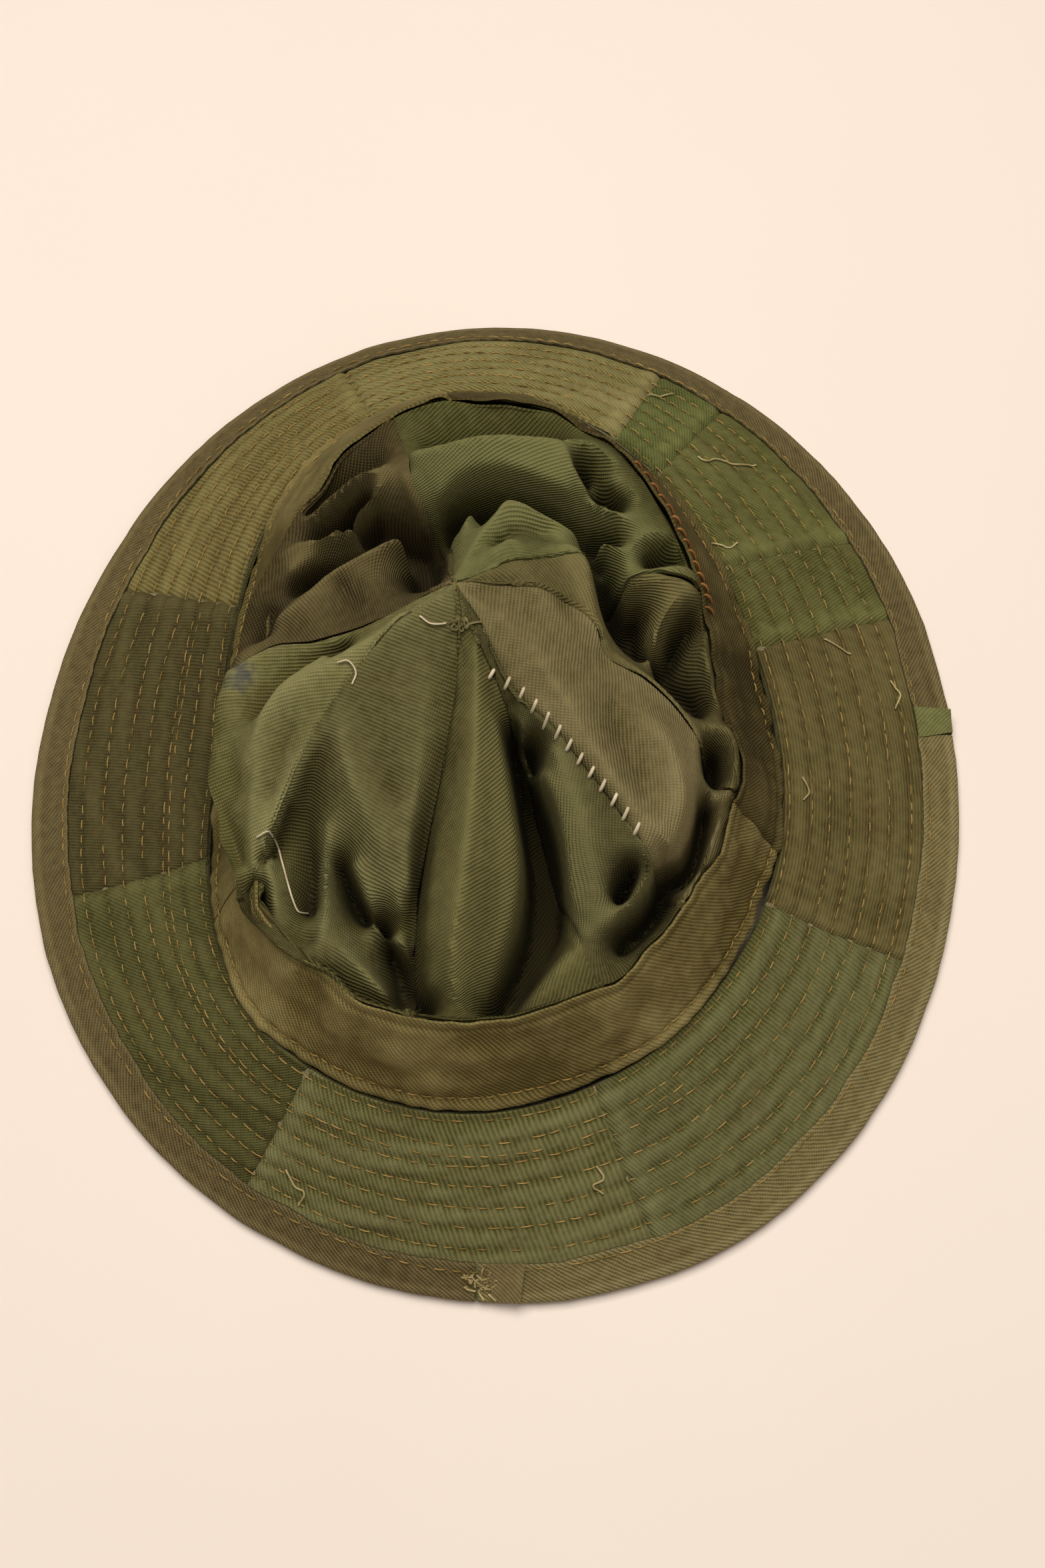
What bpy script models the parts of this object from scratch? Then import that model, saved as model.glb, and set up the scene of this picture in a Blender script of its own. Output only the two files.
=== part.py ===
"""Boonie hat of patched cotton, turned inside out and standing on its brim.

The origin is on the surface that the brim stands on, under the middle of the hat. +X is to the right,
+Y to the back and +Z up. Sizes are in metres. A bearing is in degrees, from +X towards +Y.
"""
import math

import bmesh
import bpy
from mathutils import Vector

# Brim: an oval, deeper from front to back than it is wide, sloping down and out from the head opening
BRIM_RADIUS = 0.1458
BRIM_OVAL = 0.0080
BRIM_LOPSIDED = 0.0008
BRIM_RIPPLE = 0.0006
OPENING_RADIUS = 0.0956
OPENING_OVAL = 0.0131
OPENING_SHIFT = 0.0033
OPENING_SQUARED = 0.0035
OPENING_SKEW = 0.0019

# Height of the brim's joint with the crown, which rises front and back and in one wave at the front left
JOINT_HEIGHT = 0.026
JOINT_OVAL = 0.008
JOINT_TILT = 0.003
WAVE_RISE = 0.008
WAVE_BEARING = 245
WAVE_SPREAD = 23

# The brim's layers, given as the height of each layer's middle above the middle of the brim
CLOTH = 0.0007
CANVAS = 0.0005
FACING_LIFT = 0.00105
EDGE_HEIGHT = 0.0020
GAP = 0.0003
LAYER_GAP = 0.00045

# Stitching: rows are placed as shares of the way across the brim, and the extra row is a partial one
THREAD_RADIUS = 0.00035
QUILT_ROWS = 7
FIRST_ROW = 0.035
ROW_PITCH = 0.1155
EXTRA_ROW = 1.6
EXTRA_ROW_SPAN = (150, 300)
BINDING_STITCH = 0.83

# Binding: bias tape folded over the brim's edge
TAPE = 0.0006
TAPE_WIDTH = 0.0114
TAPE_SPARE = 0.0005
TAPE_CORNER = 0.0003
TAPE_NOSE = (0.0007, -0.0005)
FOOT_WIDTH = 0.0010
FOOT_RISE = 0.0006

# Sweatband, with a row of stitching and a short zigzag of hand stitches near its upper edge
BAND_WIDTH = 0.033
BAND_SLOPE = math.radians(61)
BAND_INSET = 0.0012
BAND_CLOTH = 0.0008
BAND_STITCH = 0.12
MEND_COUNT = 14
MEND_START = 28
MEND_PITCH = 2.5
MEND_LOW = 0.90
MEND_RISE = 0.08

# Crown: its tip with a small open ring round it, its shoulder, and its bulge over the band at the left
CROWN_CLOTH = 0.0008
CROWN_TIP = Vector((-0.011, 0.023, 0.092))
TIP_HOLE = 0.045
SHOULDER = 2.3
CROWN_START = 0.002
LEFT_BULGE = 0.013
BULGE_BEARING = 190
BULGE_SPREAD = 38
BULGE_PLACE = 0.88
BULGE_LENGTH = 0.12
FOLD_END = 8
BULGE_END = 20
GORE_GAP = 0.0005
CROWN_ROWS = [TIP_HOLE, 0.14, 0.26, 0.38, 0.5, 0.62, 0.74, 0.84, 0.92, 1.0, 1.5, 1.97]

# The knot of raw seam ends on the tip, and the zigzag of whipstitches beside one seam
KNOT_SIZE = Vector((0.0042, 0.0042, 0.0016))
KNOT_LIFT = Vector((0, 0, 0.0026))
WHIP_COUNT = 26
WHIP_BEARING = 311
WHIP_SWAY = 2.6
WHIP_START = 0.28
WHIP_LENGTH = 0.42

# The cloth is modelled in columns every STEP degrees, and the brim in BRIM_STRIPS rows
STEP = 5
BRIM_STRIPS = 3

# Seam bearings: where each seam crosses the brim's outer edge, and where it meets the head opening
FACING_SEAMS = [
    ("right", (-25, -30)),
    ("right_back", (23, 24)),
    ("back_right", (34, 41)),
    ("back_gusset", (60, 61)),
    ("back", (69, 70)),
    ("back_left", (110, 110)),
    ("left", (153, 149)),
    ("front_left", (196, 200)),
    ("front", (240, 242)),
    ("front_right", (288, 285)),
]
BACKING_SEAMS = [("right", -75), ("back", 20), ("left", 110), ("front", 200)]
BAND_SEAMS = [("right", -20), ("back_left", 98), ("front", 212)]
GORE_SEAMS = [
    ("front_left", 218),
    ("front", 254),
    ("front_right", 280),
    ("right_front", 312),
    ("right", 340),
    ("back_right", 393),
    ("back_left", 460),
    ("left", 535),
]
TAPE_ENDS = (6, 268)

# The main folds that the crown has slumped into:
# bearing, half width, place between tip (0) and band (1), half length, height
FOLDS = [
    (242, 13, 0.72, 0.26, -0.012),
    (262, 9, 0.60, 0.40, 0.004),
    (278, 8, 0.62, 0.34, -0.024),
    (322, 20, 0.70, 0.30, 0.004),
    (368, 20, 0.62, 0.24, -0.024),
    (435, 20, 0.55, 0.20, -0.014),
    (445, 34, 0.86, 0.12, 0.006),
    (490, 20, 0.62, 0.24, -0.014),
]

COLOURS = {
    "right": "#605631",
    "right_back": "#615e34",
    "back_right": "#5f5b31",
    "back_gusset": "#4f542c",
    "back": "#7b6f46",
    "back_left": "#685b34",
    "left": "#51482a",
    "front_left": "#5f5a34",
    "front": "#625f38",
    "front_right": "#625d38",
    "right_front": "#776b45",
}
TAPE_COLOURS = {"long": "#594c30", "short": "#6e5f38"}
BAND_COLOUR = "#655833"
CANVAS_COLOUR = "#8b8260"
THREAD_COLOUR = "#a58a55"
PALE_THREAD_COLOUR = "#cfc3a4"


def opening_radius(bearing):
    """Distance from the middle to the brim's joint with the crown."""
    b = math.radians(bearing)
    oval = OPENING_RADIUS - OPENING_SHIFT * math.cos(b) - OPENING_OVAL * math.cos(2 * b)
    return oval + OPENING_SQUARED * math.cos(3 * b) - OPENING_SKEW * math.sin(3 * b)


def brim_radius(bearing):
    """Distance from the middle to the outside of the binding."""
    b = math.radians(bearing)
    oval = BRIM_RADIUS - BRIM_OVAL * math.cos(2 * b)
    lopsided = BRIM_LOPSIDED * (math.cos(3 * b) + math.sin(3 * b))
    return oval - lopsided + BRIM_RIPPLE * math.sin(4 * b)


def joint_height(bearing):
    """Height of the brim's joint with the crown."""
    b = math.radians(bearing)
    off_wave = (bearing - WAVE_BEARING + 180) % 360 - 180
    wave = WAVE_RISE * math.exp(-((off_wave / WAVE_SPREAD) ** 2))
    return JOINT_HEIGHT - JOINT_OVAL * math.cos(2 * b) + JOINT_TILT * math.sin(b) + wave


def edge_radius(bearing):
    """Distance from the middle to the edge of the brim's layers, inside the binding."""
    return brim_radius(bearing) - TAPE - TAPE_SPARE


def outward(bearing):
    b = math.radians(bearing)
    return Vector((math.cos(b), math.sin(b), 0))


def brim_slope(bearing):
    run = edge_radius(bearing) - opening_radius(bearing)
    return math.atan2(joint_height(bearing) - EDGE_HEIGHT, run)


def brim_point(bearing, across, lift):
    """A point of the brim, from 0 at the head opening to 1 at the edge, lifted square to the cloth."""
    slope = brim_slope(bearing)
    inner, edge = opening_radius(bearing), edge_radius(bearing)
    radius = inner + (edge - inner) * across + lift * math.sin(slope)
    rise = (joint_height(bearing) - EDGE_HEIGHT) * (1 - across)
    height = EDGE_HEIGHT + rise + lift * math.cos(slope)
    return outward(bearing) * radius + Vector((0, 0, height))


def band_point(bearing, up, lift):
    """A point of the sweatband, from 0 at the brim's joint to 1 at its upper edge."""
    radius = opening_radius(bearing) - BAND_INSET
    radius += -up * BAND_WIDTH * math.cos(BAND_SLOPE) + lift * math.sin(BAND_SLOPE)
    height = joint_height(bearing) + BAND_INSET
    height += up * BAND_WIDTH * math.sin(BAND_SLOPE) + lift * math.cos(BAND_SLOPE)
    return outward(bearing) * radius + Vector((0, 0, height))


def fold_height(bearing, down):
    """Sum of the crown's folds at a place on it."""
    height = 0
    for middle, half_width, place, half_length, rise in FOLDS:
        off = (bearing - middle + 180) % 360 - 180
        height += rise * math.exp(-((off / half_width) ** 2) - ((down - place) / half_length) ** 2)
    return height


def crown_point(bearing, down):
    """A point of the crown: 0 at the tip, 1 over the sweatband's upper edge, 2 at the brim's joint."""
    behind = -(BAND_CLOTH + CROWN_CLOTH) / 2 - GAP * 2
    if down > 1:
        return band_point(bearing, 2 - down, behind)
    foot = band_point(bearing, 1 + CROWN_START / BAND_WIDTH, behind)
    point = CROWN_TIP.lerp(foot, down)
    point.z = foot.z + (CROWN_TIP.z - foot.z) * (1 - down**SHOULDER)
    point.z += fold_height(bearing, down) * (1 - down**FOLD_END)
    off_left = (bearing - BULGE_BEARING + 180) % 360 - 180
    across = (off_left / BULGE_SPREAD) ** 2 + ((down - BULGE_PLACE) / BULGE_LENGTH) ** 2
    bulge = LEFT_BULGE * math.exp(-across)
    return point + outward(bearing) * bulge * (1 - down**BULGE_END)


def linear(channel):
    return channel / 12.92 if channel <= 0.04045 else ((channel + 0.055) / 1.055) ** 2.4


def cotton(name, colour, roughness=0.95):
    """A matt cotton of one colour, given as an sRGB hex value."""
    material = bpy.data.materials.new(name)
    material.use_nodes = True
    shader = material.node_tree.nodes["Principled BSDF"]
    channels = [linear(int(colour[i : i + 2], 16) / 255) for i in (1, 3, 5)]
    shader.inputs["Base Color"].default_value = (*channels, 1)
    shader.inputs["Roughness"].default_value = roughness
    shader.inputs["Metallic"].default_value = 0
    return material


def add_object(name, data, colour):
    data.materials.append(cotton(name, colour))
    piece = bpy.data.objects.new(name, data)
    bpy.context.scene.collection.objects.link(piece)
    return piece


def add_cloth(name, columns, rows, place, thickness, colour):
    """A sheet of cloth: a grid whose point (u, v), each from 0 to 1, goes where place says."""
    bm = bmesh.new()
    bmesh.ops.create_grid(bm, x_segments=columns, y_segments=rows, size=0.5)
    for vert in bm.verts:
        vert.co = place(vert.co.x + 0.5, vert.co.y + 0.5)
    bmesh.ops.remove_doubles(bm, verts=bm.verts, dist=1e-5)
    bmesh.ops.triangulate(bm, faces=bm.faces, quad_method="FIXED")
    mesh = bpy.data.meshes.new(name)
    bm.to_mesh(mesh)
    bm.free()
    solidify = add_object(name, mesh, colour).modifiers.new("thickness", "SOLIDIFY")
    solidify.thickness = thickness
    solidify.offset = 0


def add_thread(name, points, colour, closed):
    """A sewing thread along a line of points."""
    curve = bpy.data.curves.new(name, "CURVE")
    curve.dimensions = "3D"
    curve.bevel_depth = THREAD_RADIUS
    curve.bevel_resolution = 0
    curve.use_fill_caps = True
    spline = curve.splines.new("POLY")
    spline.points.add(len(points) - 1)
    for spot, point in zip(spline.points, points):
        spot.co = (*point, 1)
    spline.use_cyclic_u = closed
    add_object(name, curve, colour)


def add_sweep(name, sections, colour):
    """A solid bar through closed sections that all have the same number of points."""
    bm = bmesh.new()
    rings = [[bm.verts.new(point) for point in section] for section in sections]
    count = len(rings[0])
    for ring, following in zip(rings, rings[1:]):
        for i in range(count):
            j = (i + 1) % count
            bm.faces.new((ring[i], ring[j], following[j], following[i]))
    bm.faces.new(rings[0])
    bm.faces.new(rings[-1])
    bmesh.ops.recalc_face_normals(bm, faces=bm.faces)
    if bm.calc_volume(signed=True) < 0:
        bmesh.ops.reverse_faces(bm, faces=bm.faces)
    mesh = bpy.data.meshes.new(name)
    bm.to_mesh(mesh)
    bm.free()
    add_object(name, mesh, colour)


def spans(seams):
    """Each panel's name with its first and last seam, going round once."""
    starts = [seam for _, seam in seams]
    ends = starts[1:] + [add_turn(starts[0])]
    return [(name, start, end) for (name, start), end in zip(seams, ends)]


def add_turn(seam):
    return tuple(b + 360 for b in seam) if isinstance(seam, tuple) else seam + 360


def columns_between(start, end):
    """Bearings from start to end with every whole STEP between them, so that layers line up."""
    first = math.floor(start / STEP) + 1
    whole = [STEP * i for i in range(first, math.ceil(end / STEP))]
    return [start] + [b for b in whole if start + 1 < b < end - 1] + [end]


def pick(values, fraction):
    """The value at a fraction of the way along a list."""
    return values[round(fraction * (len(values) - 1))]


def shifted(point, bearing, u, gap):
    """Draws a panel's point in from its neighbours, so that half the gap is left at each side seam."""
    b = math.radians(bearing)
    along = Vector((-math.sin(b), math.cos(b), 0))
    return point + along * gap / 2 * (1 - 2 * u)


def make_brim():
    for name, (edge_a, inner_a), (edge_b, inner_b) in spans(FACING_SEAMS):

        middle = columns_between(max(edge_a, inner_a), min(edge_b, inner_b))[1:-1]

        def facing(u, v):
            first = inner_a + (edge_a - inner_a) * v
            last = inner_b + (edge_b - inner_b) * v
            bearing = pick([first, *middle, last], u)
            return shifted(brim_point(bearing, v, FACING_LIFT), bearing, u, GAP)

        columns = len(middle) + 1
        add_cloth("brim_facing_" + name, columns, BRIM_STRIPS, facing, CLOTH, COLOURS[name])

    def interlining(u, v):
        return brim_point(360 * u, v, 0)

    add_cloth("brim_interlining", 360 // STEP, BRIM_STRIPS, interlining, CANVAS, CANVAS_COLOUR)

    for name, start, end in spans(BACKING_SEAMS):
        bearings = columns_between(start, end)

        def backing(u, v):
            bearing = pick(bearings, u)
            return shifted(brim_point(bearing, v, -FACING_LIFT), bearing, u, GAP)

        columns = len(bearings) - 1
        add_cloth("brim_backing_" + name, columns, BRIM_STRIPS, backing, CLOTH, COLOURS[name])


def tape_section(bearing):
    """The binding's section, a C round the brim's edge whose outer lower corner is a flat foot at z = 0."""
    slope = brim_slope(bearing)
    edge = brim_point(bearing, 1, 0)
    out = outward(bearing) * math.cos(slope) - Vector((0, 0, math.sin(slope)))
    up = outward(bearing) * math.sin(slope) + Vector((0, 0, math.cos(slope)))
    inside = FACING_LIFT + CLOTH / 2 + LAYER_GAP
    outside = inside + TAPE
    lip = TAPE_SPARE + TAPE

    def at(reach, lift):
        return edge + out * reach + up * lift

    foot_in = at(-FOOT_WIDTH, -outside)
    foot_out = at(lip - TAPE_SPARE, -outside + FOOT_RISE)
    foot_in.z = foot_out.z = 0
    nose_top, nose_bottom = TAPE_NOSE
    outer = [at(-TAPE_WIDTH, outside), at(-FOOT_WIDTH, outside), at(lip, nose_top), at(lip, nose_bottom)]
    outer += [foot_out, foot_in, at(-TAPE_WIDTH, -outside)]
    inner = [at(-TAPE_WIDTH, -inside), at(TAPE_SPARE, -inside + TAPE_CORNER)]
    inner += [at(TAPE_SPARE, inside - TAPE_CORNER), at(-TAPE_WIDTH, inside)]
    return outer + inner


def make_binding():
    first, last = TAPE_ENDS
    for name, start, end in (("long", first, last), ("short", last, first + 360)):
        gap = math.degrees(GAP / BRIM_RADIUS) / 2
        sections = [tape_section(b) for b in columns_between(start + gap, end - gap)]
        add_sweep("edge_binding_" + name, sections, TAPE_COLOURS[name])


def thread_ring(name, across, start=0, end=360, lift=0.0):
    """A row of stitching round the brim, just above the facing."""
    closed = end - start == 360
    count = (end - start) // STEP
    height = FACING_LIFT + CLOTH / 2 + LAYER_GAP + THREAD_RADIUS + lift
    bearings = [start + STEP * i for i in range(count if closed else count + 1)]
    points = [brim_point(b, across, height) for b in bearings]
    add_thread(name, points, THREAD_COLOUR, closed)


def make_brim_stitching():
    for row in range(QUILT_ROWS):
        thread_ring(f"quilting_row_{row + 1}", FIRST_ROW + ROW_PITCH * row)
    thread_ring("quilting_row_extra", FIRST_ROW + ROW_PITCH * EXTRA_ROW, *EXTRA_ROW_SPAN)
    thread_ring("binding_stitching", BINDING_STITCH, lift=TAPE + GAP)


def make_sweatband():
    for name, start, end in spans(BAND_SEAMS):
        bearings = columns_between(start, end)

        def band(u, v):
            bearing = pick(bearings, u)
            return shifted(band_point(bearing, v, 0), bearing, u, GAP)

        add_cloth("sweatband_" + name, len(bearings) - 1, 2, band, BAND_CLOTH, BAND_COLOUR)
    height = BAND_CLOTH / 2 + GAP + THREAD_RADIUS
    ring = [band_point(STEP * i, BAND_STITCH, height) for i in range(360 // STEP)]
    add_thread("sweatband_stitching", ring, THREAD_COLOUR, True)
    zigzag = [(MEND_START + MEND_PITCH * i, MEND_LOW + MEND_RISE * (i % 2)) for i in range(MEND_COUNT)]
    mends = [band_point(bearing, up, height) for bearing, up in zigzag]
    add_thread("sweatband_hand_stitches", mends, PALE_THREAD_COLOUR, False)


def make_crown():
    for name, start, end in spans(GORE_SEAMS):
        bearings = columns_between(start, end)

        def gore(u, v):
            bearing = pick(bearings, u)
            return shifted(crown_point(bearing, pick(CROWN_ROWS, v)), bearing, u, GORE_GAP)

        columns, rows = len(bearings) - 1, len(CROWN_ROWS) - 1
        add_cloth("crown_gore_" + name, columns, rows, gore, CROWN_CLOTH, COLOURS[name])


def make_crown_trim():
    bm = bmesh.new()
    bmesh.ops.create_icosphere(bm, subdivisions=2, radius=1)
    for vert in bm.verts:
        vert.co = CROWN_TIP + KNOT_LIFT + vert.co * KNOT_SIZE
    mesh = bpy.data.meshes.new("crown_tip_knot")
    bm.to_mesh(mesh)
    bm.free()
    add_object("crown_tip_knot", mesh, PALE_THREAD_COLOUR)
    lift = Vector((0, 0, CROWN_CLOTH / 2 + 3 * GAP + THREAD_RADIUS))
    stitches = []
    for i in range(WHIP_COUNT):
        down = WHIP_START + WHIP_LENGTH * i / (WHIP_COUNT - 1)
        sway = WHIP_SWAY * (1 if i % 2 else -1) * (1 - down / 2)
        stitches.append(crown_point(WHIP_BEARING + sway, down) + lift)
    add_thread("repair_whipstitches", stitches, PALE_THREAD_COLOUR, False)


for leftover in list(bpy.data.objects):
    bpy.data.objects.remove(leftover, do_unlink=True)

make_brim()
make_binding()
make_brim_stitching()
make_sweatband()
make_crown()
make_crown_trim()
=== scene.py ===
"""Looks of a patched cotton boonie hat, turned inside out and standing on its brim.

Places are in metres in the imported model's frame: +X to the right, +Y to the back, +Z up, with the origin
on the ground under the hat's middle. A bearing is in degrees, from +X towards +Y. Fold lines, seam lines
and the cloth's own patterns are in millimetres.
"""
import math

import bpy
import numpy as np
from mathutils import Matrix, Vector


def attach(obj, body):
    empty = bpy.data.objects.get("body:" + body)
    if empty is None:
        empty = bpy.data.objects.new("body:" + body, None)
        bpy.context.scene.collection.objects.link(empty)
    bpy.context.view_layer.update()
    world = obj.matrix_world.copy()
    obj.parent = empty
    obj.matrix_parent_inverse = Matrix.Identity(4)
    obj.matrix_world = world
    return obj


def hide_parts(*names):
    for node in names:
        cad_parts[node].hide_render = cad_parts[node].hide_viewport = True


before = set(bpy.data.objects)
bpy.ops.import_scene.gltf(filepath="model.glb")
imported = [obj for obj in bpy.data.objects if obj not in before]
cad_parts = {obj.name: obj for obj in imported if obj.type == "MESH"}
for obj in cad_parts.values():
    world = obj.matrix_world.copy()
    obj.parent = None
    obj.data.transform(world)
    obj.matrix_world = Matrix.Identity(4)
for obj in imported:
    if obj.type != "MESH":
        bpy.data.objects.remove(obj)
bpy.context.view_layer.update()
scene = bpy.context.scene
MM = 0.001

# Brim: an oval, deeper from front to back than it is wide, sloping down and out from the head opening
BRIM_RADIUS = 0.1458
BRIM_OVAL = 0.0080
BRIM_LOPSIDED = 0.0008
BRIM_RIPPLE = 0.0006
OPENING_RADIUS = 0.0956
OPENING_OVAL = 0.0131
OPENING_SHIFT = 0.0033
OPENING_SQUARED = 0.0035
OPENING_SKEW = 0.0019

# Height of the brim's joint with the crown, which rises front and back and in one wave at the front left
JOINT_HEIGHT = 0.026
JOINT_OVAL = 0.008
JOINT_TILT = 0.003
WAVE_RISE = 0.008
WAVE_BEARING = 245
WAVE_SPREAD = 23
EDGE_HEIGHT = 0.0020

# A round value for the brim's width in millimetres, which only spaces the cloth's patterns and lumps
BRIM_SLANT = 49

# Cloths, and how far each brim layer's middle is from the middle of the brim
CLOTH = 0.0007
CANVAS = 0.0005
FACING_LIFT = 0.00105
LAYER_GAP = 0.00045
TAPE = 0.0006
TAPE_WIDTH = 0.0114
TAPE_SPARE = 0.0005
BAND_CLOTH = 0.0008
CROWN_CLOTH = 0.0008

# Sweatband. Its upper edge wanders in broad waves and finer ripples, given as sizes in millimetres, and an
# arc is how many millimetres of it go to one degree of bearing
BAND_WIDTH = 0.033
BAND_SLOPE = math.radians(61)
BAND_INSET = 0.0012
BAND_WAVE = 2.4
BAND_WAVE_SIZE = 26
BAND_RIPPLE = 1.2
BAND_RIPPLE_SIZE = 10
BAND_ARC = 1.5
BAND_CREASE_ARC = 1.55
BAND_LEAN = math.cos(BAND_SLOPE)
BAND_RISE = math.sin(BAND_SLOPE)

# Stitching: a lockstitch shows on the face as dashes
DASH_PITCH = 4.7
DASH = 3.6
THREAD = 0.0002
ORANGE_THREAD = 0.0004
PALE_THREAD = 0.00052
KNOT_THREAD = 0.0003
FRAYED_THREAD = 0.00032
LOOSE_THREAD = 0.00028
MISSING_DASHES = 0.06
FRAYED_THREADS = 16
FIRST_ROW = 0.035
ROW_PITCH = 0.1155
QUILT_ROWS = 7
EXTRA_ROW = 1.6
EXTRA_ROW_SPAN = (150, 300)
BAND_DASH_PITCH = 3.6
BAND_DASH = 2.9
BINDING_STITCH = 0.83
BAND_STITCH = 0.12

# Seams of the brim and sweatband, as bearings: (at the brim's edge, at the head opening)
FACING_SEAMS = [
    ("right", (-25, -30)),
    ("right_back", (23, 24)),
    ("back_right", (34, 41)),
    ("back_gusset", (60, 61)),
    ("back", (69, 70)),
    ("back_left", (110, 110)),
    ("left", (153, 149)),
    ("front_left", (196, 200)),
    ("front", (240, 242)),
    ("front_right", (288, 285)),
]
BACKING_SEAMS = [("right", -75), ("back", 20), ("left", 110), ("front", 200)]
BAND_SEAMS = [("right", -20), ("back_left", 98), ("front", 212)]
TAPE_ENDS = (6, 268)

# The crown's seams from its tip to the sweatband, as plan lines in millimetres
CROWN_TIP = (-11, 23)
GORE_SEAMS = [
    ("front_left", [(-19, 18), (-29, 12), (-41, -2), (-52, -18), (-62, -40), (-67, -53)]),
    ("front", [(-9, 11), (-14, -22), (-19, -45), (-22, -66), (-22, -88)]),
    ("front_right", [(-6, 10), (3, -8), (11, -28), (18, -54), (25, -73), (29, -82)]),
    ("right_front", [(-4, 12), (3, -3), (15, -14), (28, -30), (37, -41), (52, -56)]),
    ("right", [(0, 23), (14, 23), (26, 18), (30, 8), (42, 3), (53, -7), (62, -20)]),
    ("back_right", [(-2, 27), (14, 33), (28, 37), (44, 39), (58, 38)]),
    ("back_left", [(-12, 30), (-13, 45), (-18, 57), (-24, 66), (-26, 76)]),
    ("left", [(-17, 23), (-34, 18), (-50, 16), (-62, 17), (-75, 10)]),
]

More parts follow.
